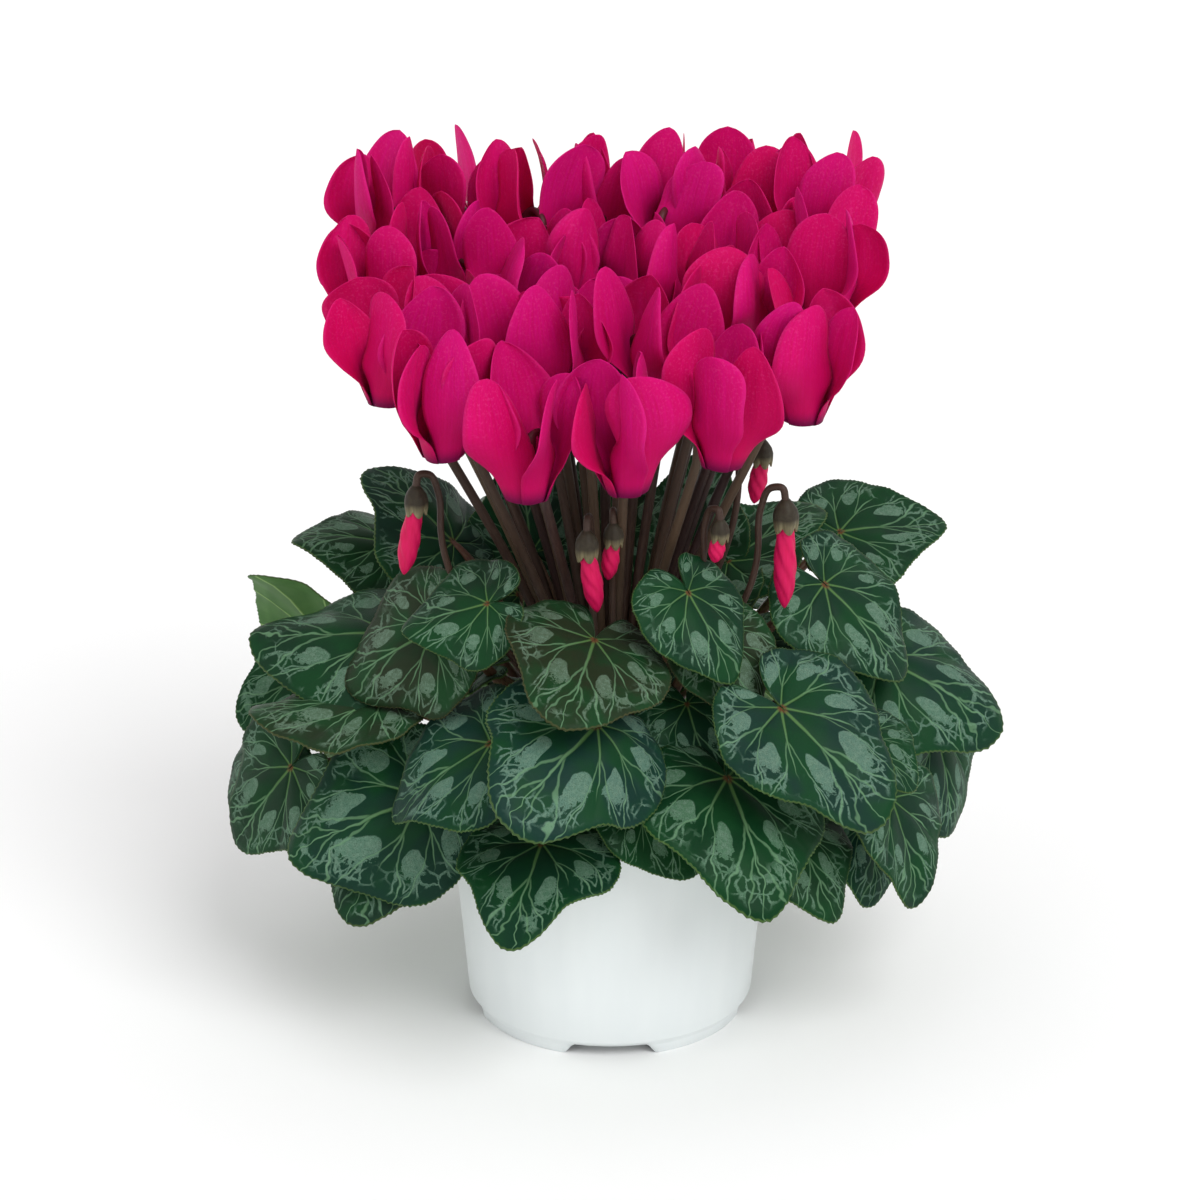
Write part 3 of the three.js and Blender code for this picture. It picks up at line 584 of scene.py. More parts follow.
def leafMaterial():
    # Living cyclamen leaf: a waxy skin over dark green flesh, with air under the skin
    # where the silver shows. It gives a soft satin shine and sharp pale markings.
    look = leafLook
    material, tree, shader = newMaterial("marbled cyclamen leaf", 0.42, 0.08)
    veinPlace, rho = surfaceMap(tree)[1:]
    blue, brown, silvering = paintedTones(tree)
    place = addNode(tree, "TexCoord", {}).outputs["Object"]
    noise = {}
    for name, (size, detail, roughness) in look["patterns"].items():
        noise[name] = addNode(tree, "TexNoise", {
            "Vector": place, "Scale": perMetre(size), "Detail": detail, "Roughness": roughness,
        })

    # distance from the nearest main vein: 0 on it and 0.5 halfway to the next one
    sway = addNode(tree, "Math", {"operation": "MULTIPLY_ADD", 0: noise["sway"], 1: 0.5, 2: -0.25})
    number = addNode(tree, "Math", {"operation": "MULTIPLY_ADD", 0: sway, 1: rho, 2: veinPlace})
    whole = addNode(tree, "Math", {"operation": "ROUND", 0: number})
    beside = addNode(tree, "Math", {"operation": "SUBTRACT", 0: number, 1: whole})
    off = addNode(tree, "Math", {"operation": "ABSOLUTE", 0: beside})
    midrib = addNode(tree, "Math", {"operation": "COMPARE", 0: whole, 1: 0, 2: 0.5})
    radius = addNode(tree, "Math", {"operation": "MAXIMUM", 0: rho, 1: 0.05})
    wide = addNode(tree, "Math", {"operation": "MULTIPLY", 0: radius, 1: 0.55})  # from vein to vein

    # main veins, which grow thinner outwards; the midrib alone runs on to the edge
    atStalk, atEdge = look["veinWidth"]
    width = addNode(tree, "MapRange", {**smooth, 0: rho, 3: atStalk, 4: atEdge})
    gap = addNode(tree, "Math", {"operation": "MULTIPLY", 0: off, 1: wide})
    gap = addNode(tree, "Math", {"operation": "DIVIDE", 0: gap, 1: width})
    shown = addNode(tree, "MapRange", {**smooth, 0: rho, 1: 0.8, 2: 0.6})
    shown = addNode(tree, "Math", {"operation": "MAXIMUM", 0: midrib, 1: shown})
    vein = addNode(tree, "MapRange", {**smooth, 0: gap, 1: 0.3, 2: 1, 3: shown, 4: 0})

    # paired branches: how far a point lies from each, then those that show as pale lines
    gaps = {"vein": off}
    for name, parent, leaves, spread in look["branches"]:
        past = addNode(tree, "Math", {"operation": "SUBTRACT", "use_clamp": True, 0: rho, 1: leaves})
        bow = addNode(tree, "Math", {"operation": "POWER", 0: past, 1: 0.75})
        apart = addNode(tree, "Math", {"operation": "MULTIPLY_ADD", 0: bow, 1: -spread, 2: gaps[parent]})
        gaps[name] = addNode(tree, "Math", {"operation": "ABSOLUTE", 0: apart})
    onMidrib = addNode(tree, "Math", {"operation": "MULTIPLY", 0: midrib, 1: 0.75})
    for name, start, end, most in (("fork", 0.34, 0.42, 0.75), ("side", 0.58, 0.64, onMidrib)):
        gap = addNode(tree, "Math", {"operation": "MULTIPLY", 0: gaps[name], 1: wide})
        shown = addNode(tree, "MapRange", {**smooth, 0: rho, 1: start, 2: end, 4: most})
        line = addNode(tree, "MapRange", {**smooth, 0: gap, 1: 0.003, 2: 0.009, 3: shown, 4: 0})
        vein = addNode(tree, "Math", {"operation": "MAXIMUM", 0: vein, 1: line})

    # silver ovals between the veins: smooth on the side of the stalk, torn outside
    girth = addNode(tree, "MapRange", {**smooth, 0: noise["girth"], 1: 0.35, 2: 0.65, 3: 0.15, 4: 0.3})
    aside = addNode(tree, "Math", {"operation": "SUBTRACT", 0: 0.5, 1: off})
    aside = addNode(tree, "Math", {"operation": "DIVIDE", 0: aside, 1: girth})
    shifted = addNode(tree, "Math", {"operation": "MULTIPLY_ADD", 0: noise["drift"], 1: 0.16, 2: rho})
    along = addNode(tree, "MapRange", {"clamp": False, 0: shifted, 1: 0.57, 2: 0.83, 3: -1, 4: 1})
    oval = addNode(tree, "Math", {"operation": "MULTIPLY", 0: aside, 1: aside})
    oval = addNode(tree, "Math", {"operation": "MULTIPLY_ADD", 0: along, 1: along, 2: oval})
    crumbs = addNode(tree, "Math", {"operation": "SUBTRACT", 0: noise["crumbs"], 1: 0.5})
    torn = addNode(tree, "MapRange", {**smooth, 0: rho, 1: 0.52, 2: 0.76, 3: 0.5, 4: 5})
    oval = addNode(tree, "Math", {"operation": "MULTIPLY_ADD", 0: crumbs, 1: torn, 2: oval})
    patchy = addNode(tree, "Math", {"operation": "MULTIPLY_ADD", 0: noise["patches"], 1: 1.6, 2: -0.8})
    fuller = addNode(tree, "Math", {"operation": "MULTIPLY_ADD", 0: silvering, 1: 1.1, 2: -0.55})
    fuller = addNode(tree, "Math", {"operation": "ADD", 0: fuller, 1: patchy})
    oval = addNode(tree, "Math", {"operation": "SUBTRACT", 0: oval, 1: fuller})
    blotch = addNode(tree, "MapRange", {**smooth, 0: oval, 1: 1.12, 2: 0.9})

    # a net of silver lines round dark cells, from the ovals to the edge
    warp = [look["netWarp"] * metresPerMm] * 3
    moved = addNode(tree, "VectorMath", {
        "operation": "MULTIPLY_ADD", 0: noise["warp"].outputs["Color"], 1: warp, 2: place,
    })
    cells = addNode(tree, "TexVoronoi", {
        "feature": "DISTANCE_TO_EDGE", "Vector": moved, "Scale": perMetre(look["netCell"]),
    })
    gap = addNode(tree, "Math", {"operation": "MULTIPLY_ADD", 0: noise["crumbs"], 1: 0.12, 2: cells})
    outer = addNode(tree, "Math", {"operation": "MULTIPLY_ADD", 0: patchy, 1: 0.12, 2: rho})
    shown = addNode(tree, "MapRange", {**smooth, 0: outer, 1: 0.66, 2: 0.78})
    shown = addNode(tree, "MapRange", {**smooth, 0: noise["netPatches"], 1: 0.42, 2: 0.56, 4: shown})
    net = addNode(tree, "MapRange", {**smooth, 0: gap, 1: 0.1, 2: 0.14, 3: shown, 4: 0})

    # silver along the forks and twigs, broken up like the ovals
    gap = addNode(tree, "Math", {"operation": "MINIMUM", 0: gaps["fork"], 1: gaps["twig"]})
    gap = addNode(tree, "Math", {"operation": "MULTIPLY", 0: gap, 1: wide})
    shown = addNode(tree, "MapRange", {**smooth, 0: rho, 1: 0.62, 2: 0.74})
    shown = addNode(tree, "MapRange", {**smooth, 0: noise["crumbs"], 1: 0.36, 2: 0.46, 4: shown})
    twigs = addNode(tree, "MapRange", {**smooth, 0: gap, 1: 0.005, 2: 0.012, 3: shown, 4: 0})
    lines = addNode(tree, "Math", {"operation": "MAXIMUM", 0: net, 1: twigs})
    lines = addNode(tree, "MapRange", {**smooth, 0: rho, 1: 0.965, 2: 0.9, 4: lines})
    lines = addNode(tree, "Math", {"operation": "MULTIPLY", 0: lines, 1: 0.95})
    silver = addNode(tree, "Math", {"operation": "MAXIMUM", 0: blotch, 1: lines})
    silver = addNode(tree, "MapRange", {**smooth, 0: rho, 1: 0.99, 2: 0.94, 4: silver})
    speckle = addNode(tree, "MapRange", {**smooth, 0: noise["skin"], 1: 0.3, 2: 0.55, 3: 0.5})
    silver = addNode(tree, "Math", {"operation": "MULTIPLY", 0: silver, 1: speckle})

    drift = addNode(tree, "MapRange", {**smooth, 0: noise["drift"], 1: 0.38, 2: 0.66, 4: 0.8})
    centre = addNode(tree, "MapRange", {**smooth, 0: rho, 1: 0.5, 2: 0, 4: 0.35})
    green = layered(tree, look["green"], [
        (blue, look["blueGreen"]), (brown, look["brownGreen"]),
        (drift, look["driftGreen"]), (centre, look["centreGreen"]),
    ])
    browned = addNode(tree, "Math", {"operation": "MULTIPLY", 0: brown, 1: 0.7})
    paler = addNode(tree, "MapRange", {**smooth, 0: noise["crumbs"], 1: 0.4, 2: 0.62, 4: 0.6})
    silverColour = layered(tree, look["silver"], [
        (blue, look["blueSilver"]), (browned, look["brownSilver"]), (paler, look["paleSilver"]),
    ])
    outwards = addNode(tree, "MapRange", {**smooth, 0: rho, 2: 0.6})
    veinColour = layered(tree, look["innerVein"], [(outwards, look["outerVein"])])
    rimColour = layered(tree, look["greenRim"], [(brown, look["brownRim"])])
    silverShare = addNode(tree, "Math", {"operation": "MULTIPLY", 0: silver, 1: 0.7})
    veinShare = addNode(tree, "Math", {"operation": "MULTIPLY", 0: vein, 1: 0.75})
    rimShare = addNode(tree, "MapRange", {**smooth, 0: rho, 1: 0.987, 2: 0.997, 4: 0.6})
    spotShare = addNode(tree, "MapRange", {**smooth, 0: rho, 1: 0.075, 2: 0.02, 4: 0.85})
    colour = layered(tree, green, [
        (silverShare, silverColour), (veinShare, veinColour), (rimShare, rimColour),
        (spotShare, look["stalkRed"]),
    ])

    sunk = addNode(tree, "MapRange", {**smooth, 0: rho, 1: 0.05, 2: 0.2, 4: -0.6})
    height = addNode(tree, "Math", {"operation": "MULTIPLY", 0: vein, 1: sunk})
    for source, share in ((noise["skin"], 0.3), (silver, 0.2), (noise["drift"], 1.5)):
        height = addNode(tree, "Math", {"operation": "MULTIPLY_ADD", 0: source, 1: share, 2: height})
    dress(tree, shader, colour, height, 0.6, 0.5)
    satin = addNode(tree, "Math", {"operation": "MULTIPLY_ADD", 0: silver, 1: 0.12, 2: 0.4})
    tree.links.new(mainOutput(satin), shader.inputs["Roughness"])
    return material


def undersideMaterial():
    # Underside of the leaf: a thinner skin, pale green and matt, with raised ribs.
    material, tree, shader = newMaterial("pale leaf underside", 0.6, 0.3)
    veinPlace, rho = surfaceMap(tree)[1:]
    off = addNode(tree, "Math", {"operation": "PINGPONG", 0: veinPlace, 1: 0.5})
    gap = addNode(tree, "Math", {"operation": "MULTIPLY", 0: off, 1: rho})
    rib = addNode(tree, "MapRange", {0: gap, 1: 0.008, 2: 0.03, 3: 1, 4: 0})
    place = addNode(tree, "TexCoord", {}).outputs["Object"]
    blotches = addNode(tree, "TexNoise", {"Vector": place, "Scale": perMetre(leafLook["underBlotch"])})
    flesh, paler, ribColour = leafLook["underside"]
    dress(tree, shader, layered(tree, flesh, [(blotches, paler), (rib, ribColour)]), rib, 0.5, 0.4)
    return material


stemLook = {  # sizes in mm
    "evenTone": (0.5, 0.5, 0),  # half tanned, half darkened, without the hook's purple and painted shade
    "girth": 12,
    "length": 165,
    "streak": (0.8, 2.5),  # width and length of a streak
    "drift": 45.45,  # from one browner stretch to the next
    "hair": 0.5556,  # downy hairs, coarser than real ones so that they show
    "leafStalk": ("4f2522", "5c4a2c"),
    "flowerStem": ("301d1b", "47332a"),
    "tan": "5c4c36",
    "dark": "2c1c1c",
    "hookPurpleAndShade": "52091f",
}


def stemMaterial(name, low, high):
    # Fleshy stem skin: fine lengthwise streaks of brown over green, and a dull shine.
    look = stemLook
    material, tree, shader = newMaterial(name, 0.5, 0.35)
    uv, _, along = surfaceMap(tree)
    tanned, darkened, hookTintAndShade = paintedTones(tree)
    place = addNode(tree, "TexCoord", {}).outputs["Object"]
    perStreak = (look["girth"] / look["streak"][0], look["length"] / look["streak"][1], 1)
    stretched = addNode(tree, "Mapping", {"Vector": uv, "Scale": perStreak})
    streaks = addNode(tree, "TexNoise", {"Vector": stretched, "Scale": 1, "Detail": 4})
    drift = addNode(tree, "TexNoise", {"Vector": place, "Scale": perMetre(look["drift"])})
    both = addNode(tree, "Math", {"operation": "MULTIPLY", 0: streaks, 1: drift})
    share = addNode(tree, "MapRange", {0: both, 1: 0.15, 2: 0.38})
    tanned = addNode(tree, "MapRange", {0: tanned, 1: 0.3, 4: 0.55})
    darkened = addNode(tree, "MapRange", {0: darkened, 1: 0.4, 4: 0.5})
    # the hook goes darker purple: partly its own colour, partly painted shade of the petals round it
    hook = addNode(tree, "MapRange", {0: along, 1: 0.5, 2: 0.62, 4: 0.85})
    hookTintAndShade = addNode(tree, "Math", {"operation": "MULTIPLY", 0: hook, 1: hookTintAndShade})
    colour = layered(tree, low, [
        (share, high), (tanned, look["tan"]), (darkened, look["dark"]), (hookTintAndShade, look["hookPurpleAndShade"]),
    ])
    hairs = addNode(tree, "TexNoise", {"Vector": place, "Scale": perMetre(look["hair"]), "Detail": 2})
    dress(tree, shader, colour, hairs, 0.35, 0.3)
    return material


def buildLeaves():
    skins = [leafMaterial(), undersideMaterial()]
    stalkSkin = stemMaterial("brown-red leaf stalk", *stemLook["leafStalk"])
    leaves = readLeaves()
    for i in range(len(sprigTable)):
        sprig = [leaf for leaf in leaves if leaf["sprig"] == i + 1]
        blades = [bladePart(leaf) for leaf in sprig]
        makePiece(f"leafBlades_{i + 1}", blades, skins, [f"leaves_{i + 1}"])
        stalks = [petiolePart(leaf) for leaf in sprig]
        foot = sprig[0]["base"] - [0, 0, plant["sprigFoot"] - plant["gap"]]
        sheath = foot + [[0, 0, 0], [0, 0, 3], [0, 0, 5.5], [0, 0, 7]]
        stalks.append(tubePart(sheath, [2.9, 2.8, 2.4, 1.2], 12, tone=stemLook["evenTone"]))
        makePiece(f"leafStalks_{i + 1}", stalks, [stalkSkin])
    young = readYoungLeaves()
    makePiece("youngLeaves", [bladePart(leaf) for leaf in young], skins)
    makePiece("youngStalks", [petiolePart(leaf) for leaf in young], [stalkSkin])


buildLeaves()
print("leaves ready")


# Blooms: a short corolla tube with a rolled mouth and five petals turned up

bloomTable = [  # centre of the mouth, size, turn of the petals in degrees
    [-84, -18, 260, 0.94, 0], [-62, -48, 250, 0.98, 0], [-31, -63, 239, 1, -8],
    [6, -60, 241, 1, -6], [41, -50, 247, 0.96, 4], [72, -28, 257, 1, 0],
    [-50, -10, 263, 0.91, 0], [-18, -19, 259, 0.93, 10], [16, -16, 261, 0.95, 0],
    [49, -1, 269, 0.92, 4], [-88, 16, 274, 0.93, 0], [-63, 35, 277, 0.89, -5],
    [-34, 20, 273, 0.9, 5], [-5, 31, 273, 0.9, 0], [23, 20, 274, 0.92, 0],
    [54, 32, 278, 0.92, 0], [82, 16, 279, 0.93, 0], [-88, 58, 291, 0.9, 0],
    [-60, 76, 285, 0.9, 0], [-32, 58, 290, 0.92, 0], [-4, 76, 285, 0.9, 0],
    [22, 57, 292, 0.89, -4], [52, 77, 286, 0.88, 4], [80, 56, 291, 0.92, 0],
]

bloomLook = {
    "petalAngles": (-131, -67, 0, 67, 131),
    "rows": 30,
    "columns": 14,
    "thickness": 0.5,
    "halfWidth": 13.7,
    "twist": 38,
    "lean": 0.03,
    "nod": 0.085,  # each bloom tips its own way
    "tubeHeight": 11,
    "neckReach": 14,
    # shape of a petal at these shares of its length
    "places": [0, 0.05, 0.12, 0.22, 0.4, 0.7, 1],
    "reach": [4.6, 6.6, 8.2, 9.8, 12.6, 14.6, 15.4],  # from the bloom's axis
    "height": [1.5, -2.7, 0.2, 7, 17.5, 34.5, 50.5],
    "width": [0.20, 0.31, 0.40, 0.51, 0.83, 1.0, 0.96],
    "edgeWave": (0.12, 7),  # share of the width, and radians along the petal
    "faceWave": (1.1, 6),  # mm, and radians along the petal
    "crease": (0.5, 0.12),  # depth in mm, and width as a share of the half width
    "chances": {  # what differs from petal to petal: two limits, or several to choose from
        "twist": (-14, 14), "flare": (-2.5, 2), "stretch": (-0.14, 0.08), "width": (0.97, 1.18),
        "blunt": (1.6, 2.0, 2.5, 3.0), "taper": (0.48, 0.62), "cup": (-0.2, 0.42), "roll": (-1.5, 1.0),
        "curl": (-9, 6), "lean": (-8, 8), "tilt": (-0.35, 0.35), "phase": (0, 6), "shade": (0.1, 0.9),
    },
    "wildShare": 0.22,  # petals that are narrower, more pointed and turned edge-on
    "wild": {"twist": 24, "width": -0.14, "blunt": -0.3},  # what that adds to their chances
    "vein": (0.8563, 22.95),  # width and length of a vein in mm
    "grain": 0.9091,  # pale grains near the tip, in mm
    "cell": 0.4167,  # mm; real cells are far finer, and wouldn't show
    "magenta": "c80657",
    "pinkMagenta": "ca0e7a",
    "veinRed": "b60548",
    # painted sheen along the edges of each petal
    "paintedSheenPink": "d83582",
    # painted shade of the neighbouring petals, laid on each petal's lower part
    "paintedShadeRed": "a4033e",
    "basePurple": "5c0a3c",
    "grainPink": "e04a94",
    "sheenPink": "ff6fb0",
    "mouth": ("4a0a35", "c01560"),
    "mouthStain": 2.381,  # mm
}


# Younger blooms low inside the cluster, which fill it up between the others
innerTable = [
    [-3, 5, 253, 0.9, 20], [-37, 8, 253, 0.88, -12], [-19, 46, 265, 0.86, 15],
    [10, 48, 266, 0.86, -20], [33, 8, 255, 0.88, 8], [-75, 42, 267, 0.84, 0], [66, 44, 269, 0.84, 10],
]


def readBlooms(table):
    blooms = []
    for x, y, z, size, turn in table:
        inward = math.atan2(-y, -x)
        lean = bloomLook["lean"]
        nodX, nodY = bloomDraws.uniform(-bloomLook["nod"], bloomLook["nod"], 2)
        axis = np.array([-math.cos(inward) * lean + nodX, -math.sin(inward) * lean + nodY, 1])
        axis /= np.linalg.norm(axis)
        # the shortest turn that takes +Z to the bloom's axis
        v = np.cross([0, 0, 1], axis)
        c = axis[2]
        skew = np.array([[0, -v[2], v[1]], [v[2], 0, -v[0]], [-v[1], v[0], 0]])
        rotation = np.eye(3) + skew + skew @ skew / (1 + c)
        blooms.append({
            "mouth": np.array([x, y, z], float),
            "size": size,
            "inward": inward,
            "turn": math.radians(turn),
            "rotation": rotation,
        })
    return blooms


def placed(bloom, points):  # from the bloom's own axes to those of the plant
    return (points * bloom["size"]) @ bloom["rotation"].T + bloom["mouth"]


def petalPart(bloom, angle, draw):
    look = bloomLook
    rows, columns = look["rows"], look["columns"]
    edgeDepth, edgeTurns = look["edgeWave"]
    faceDepth, faceTurns = look["faceWave"]
    creaseDepth, creaseWidth = look["crease"]
    s = 1 - (1 - np.linspace(0, 1, rows + 1)[:, None]) ** 1.35  # along the petal, closer at its tip
    t = np.linspace(-1, 1, columns + 1)[None, :]  # across it
    reach = throughPoints(look["places"], look["reach"], s) + draw["flare"] * s**2
    height = throughPoints(look["places"], look["height"], s) * (1 + draw["stretch"] * s)
    tip = np.clip((s - draw["taper"]) / (1 - draw["taper"]), 0, 1)
    half = look["halfWidth"] * draw["width"] * throughPoints(look["places"], look["width"], s)
    half = half * np.sqrt(np.clip(1 - tip ** draw["blunt"], 0, 1))
    half = half * (1 - edgeDepth * np.sin(edgeTurns * s + draw["phase"]) * smoothStep(0.25, 0.5, s))
    half = np.maximum(half, 0.15)
    aside = half * t
    twist = draw["sense"] * np.radians(7 + (draw["twist"] - 7) * smoothStep(0.06, 0.62, s))
    sideways = aside * np.cos(twist)
    outwards = aside * np.sin(twist) + reach

    # bent across: cupped, waved, rolled in at one edge and creased down the middle
    spread = smoothStep(0.12, 0.5, s)
    full = spread * half / look["halfWidth"]
    bent = faceDepth * full * t * np.sin(faceTurns * s + draw["phase"])
    bent = bent - draw["cup"] * spread * half * t**2
    bent = bent + 4 * draw["roll"] * full * np.maximum(t * draw["sense"], 0) ** 3
    bent = bent - creaseDepth * spread * smoothStep(1.0, 0.75, s) * np.exp(-((t / creaseWidth) ** 2))

    # wrapped round the corolla at its base and free above it
    free = smoothStep(0.12, 0.4, s)
    freeX = outwards + bent * np.cos(twist) + draw["curl"] * s**3
    freeY = sideways - bent * np.sin(twist) + draw["lean"] * s**2
    x = outwards * np.cos(sideways / reach) * (1 - free) + freeX * free
    y = outwards * np.sin(sideways / reach) * (1 - free) + freeY * free
    z = height - 0.11 * free * half * t**2 * smoothStep(0.2, 0.6, s) + draw["tilt"] * aside * s**2
    z = z - 0.3 * abs(draw["curl"]) * s**4
    turned = [x * math.cos(angle) - y * math.sin(angle), x * math.sin(angle) + y * math.cos(angle), z]
    middle = np.stack(turned, -1)
    normal = np.cross(np.gradient(middle, axis=1), np.gradient(middle, axis=0))
    normal /= np.maximum(np.linalg.norm(normal, axis=2)[..., None], 1e-9)
    thick = look["thickness"] * (1 - 0.5 * smoothStep(0.6, 1, np.abs(t))) * (1 - 0.5 * smoothStep(0.8, 1, s))
    outside = (middle + normal * thick[..., None] / 2).reshape(-1, 3)
    inside = (middle - normal * thick[..., None] / 2).reshape(-1, 3)

    corners, row, column = gridFaces(rows + 1, columns + 1)
    uv = np.stack([t[0, column], s[row, 0]], -1)
    offset = len(outside)
    border = [(0, k) for k in range(columns)] + [(k, columns) for k in range(rows)]
    border += [(rows, columns - k) for k in range(columns)] + [(rows - k, 0) for k in range(rows)]
    ids = np.array([j * (columns + 1) + i for j, i in border])
    following = np.roll(ids, -1)
    rim = np.stack([following, ids, ids + offset, following + offset], 1)
    spots = np.array([[t[0, i], s[j, 0]] for j, i in border])
    rimUv = np.stack([np.roll(spots, -1, 0), spots, spots, np.roll(spots, -1, 0)], 1)
    return {
        "points": placed(bloom, np.concatenate([outside, inside])),
        "faces": [(corners, uv, 0), (corners[:, ::-1] + offset, uv[:, ::-1], 0), (rim, rimUv, 0)],
        "tone": (draw["shade"], 0.5, 0.5),
    }


def corollaPart(bloom):  # tube and rolled mouth, inside the petals' bases
    outline = [
        [0.05, 3], [3.4, 2.4], [4.4, 0.4], [5.6, -1.6], [7.0, -2.3], [7.6, -1.2],
        [6.6, 2.2], [5.6, 5.5], [5.0, 9], [4.2, 11], [0.05, 11.2],
    ]
    part = turnedPart(outline, 30, finish=1)
    part["points"] = placed(bloom, part["points"])
    return part


def petalMaterial():
    # Cyclamen petal: thin velvety tissue full of magenta sap. It gives saturated
    # colour, hardly any shine, a slight bloom at grazing light, fine length veins, and
    # pale grains towards the tip.
    look = bloomLook
    material, tree, shader = newMaterial("magenta cyclamen petal", 0.62, 0.07)
    velvet = {
        "Sheen Weight": 0.05, "Sheen Roughness": 0.4, "Sheen Tint": linearColour(look["sheenPink"]),
        "Subsurface Weight": 0.15, "Subsurface Radius": (1.0, 0.25, 0.4), "Subsurface Scale": 0.002,
    }
    for name, value in velvet.items():
        shader.inputs[name].default_value = value
    uv, across, along = surfaceMap(tree)
    pinker = paintedTones(tree)[0]
    perVein = (look["halfWidth"] / look["vein"][0], look["height"][-1] / look["vein"][1], 1)
    fan = addNode(tree, "Mapping", {"Vector": uv, "Scale": perVein})
    veins = addNode(tree, "TexNoise", {"Vector": fan, "Scale": 1, "Detail": 3})
    veined = addNode(tree, "MapRange", {0: veins, 1: 0.35, 2: 0.7, 4: 0.45})
    side = addNode(tree, "Math", {"operation": "ABSOLUTE", 0: across})
    # paler pink towards each petal's edges: a painted sheen
    rim = addNode(tree, "MapRange", {0: side, 1: 0.86, 4: 0.22})
    # the lower part of each petal goes a deeper red: painted shade of the neighbouring petals
    paintedLowShade = addNode(tree, "MapRange", {**smooth, 0: along, 1: 0.75, 2: 0.2, 4: 0.55})
    base = addNode(tree, "MapRange", {**smooth, 0: along, 1: 0.2, 2: 0.09, 4: 0.85})
    place = addNode(tree, "TexCoord", {}).outputs["Object"]
    cells = addNode(tree, "TexNoise", {"Vector": place, "Scale": perMetre(look["cell"])})
    grains = addNode(tree, "TexNoise", {"Vector": place, "Scale": perMetre(look["grain"]), "Detail": 2})
    grained = addNode(tree, "MapRange", {0: grains, 1: 0.52, 2: 0.72, 4: 0.22})
    dusted = addNode(tree, "MapRange", {0: along, 1: 0.35, 2: 0.8, 4: grained})
    colour = layered(tree, look["magenta"], [
        (pinker, look["pinkMagenta"]), (veined, look["veinRed"]), (rim, look["paintedSheenPink"]),
        (paintedLowShade, look["paintedShadeRed"]), (base, look["basePurple"]), (dusted, look["grainPink"]),
    ])
    height = addNode(tree, "Math", {"operation": "ADD", 0: veins, 1: cells})
    dress(tree, shader, colour, height, 0.25, 0.3)
    return material


def corollaMaterial():
    # Tube and mouth ring: the same tissue, stained dark purple round the mouth.
    material, tree, shader = newMaterial("purple corolla mouth", 0.55, 0.25)
    along = surfaceMap(tree)[2]
    place = addNode(tree, "TexCoord", {}).outputs["Object"]
    stains = addNode(tree, "TexNoise", {"Vector": place, "Scale": perMetre(bloomLook["mouthStain"])})
    cleaner = addNode(tree, "MapRange", {0: along, 1: 0.35, 2: 0.6, 4: stains})
    purple, pink = bloomLook["mouth"]
    dress(tree, shader, layered(tree, purple, [(cleaner, pink)]))
    return material


def buildBlooms():
    petalSkin = petalMaterial()
    corollaSkin = corollaMaterial()
    blooms = readBlooms(bloomTable + innerTable)
    for i, bloom in enumerate(blooms):
        bloomTwist = bloomDraws.uniform(-8, 12)
        sense = bloomDraws.choice([1, 1, -1])
        parts = [corollaPart(bloom)]
        for petalAngle in bloomLook["petalAngles"]:
            angle = math.radians(petalAngle) + bloom["inward"] + math.pi + bloom["turn"]
            wild = bloomDraws.uniform() < bloomLook["wildShare"] or petalAngle == 0
            draw = {"sense": sense}
            for name, span in bloomLook["chances"].items():
                draw[name] = bloomDraws.uniform(*span) if len(span) == 2 else bloomDraws.choice(span)
            draw["twist"] = bloomLook["twist"] + bloomTwist + draw["twist"]
            for name, more in bloomLook["wild"].items():
                draw[name] += more * wild
            parts.append(petalPart(bloom, angle, draw))
        if i < len(bloomTable):
            makePiece(f"flower_{i + 1}", parts, [petalSkin, corollaSkin], [f"bloom_{i + 1}"])
        else:
            makePiece(f"innerFlower_{i + 1 - len(bloomTable)}", parts, [petalSkin, corollaSkin])
    return blooms


blooms = buildBlooms()
print("blooms ready")


# Flower stems, buds and their calyxes

budTable = [  # middle of the calyx, reach of the bud sideways and down, size
    [-73, -35, 225, -5, 25, 1], [-9, -48, 212, 4, 22, 1], [1, -40, 213, -2, 14, 0.85],
    [41, -38, 214, -2, 9, 0.8], [66, -28, 216, 0, 32, 1.1], [58, 4, 229, -3, 16, 0.9],
]
budLook = {  # sizes in mm
    "petalsIn": 1.5,  # how far under the middle of the calyx the furled petals start
    "calyxSize": (28.2, 20),  # girth, and length along the outline
    "rib": (0.94, 10),  # width and length of a rib
    "mottle": 1.429,
    "calyx": ("241a17", "3c3727", "948b6a"),  # brown, olive and the pale edges
    "budSize": (22, 28),
    "streak": (1.122, 6.667),
    "bud": ("b80740", "d61a60"),
}


def risingStem(foot, neck, lastBend=(0.68, 0.74)):  # a bend's shares of the way out and up
    rise = neck - foot
    bend = [foot + rise * [part, part, height] for part, height in ((0.12, 0.4), lastBend)]
    return bezier([foot, *bend, neck], 26)


def stemFoot(top):  # on the crown, a little way out towards the flower or bud
    return np.array([0.12 * top[0], 0.12 * top[1], plant["crownTop"] - 1])


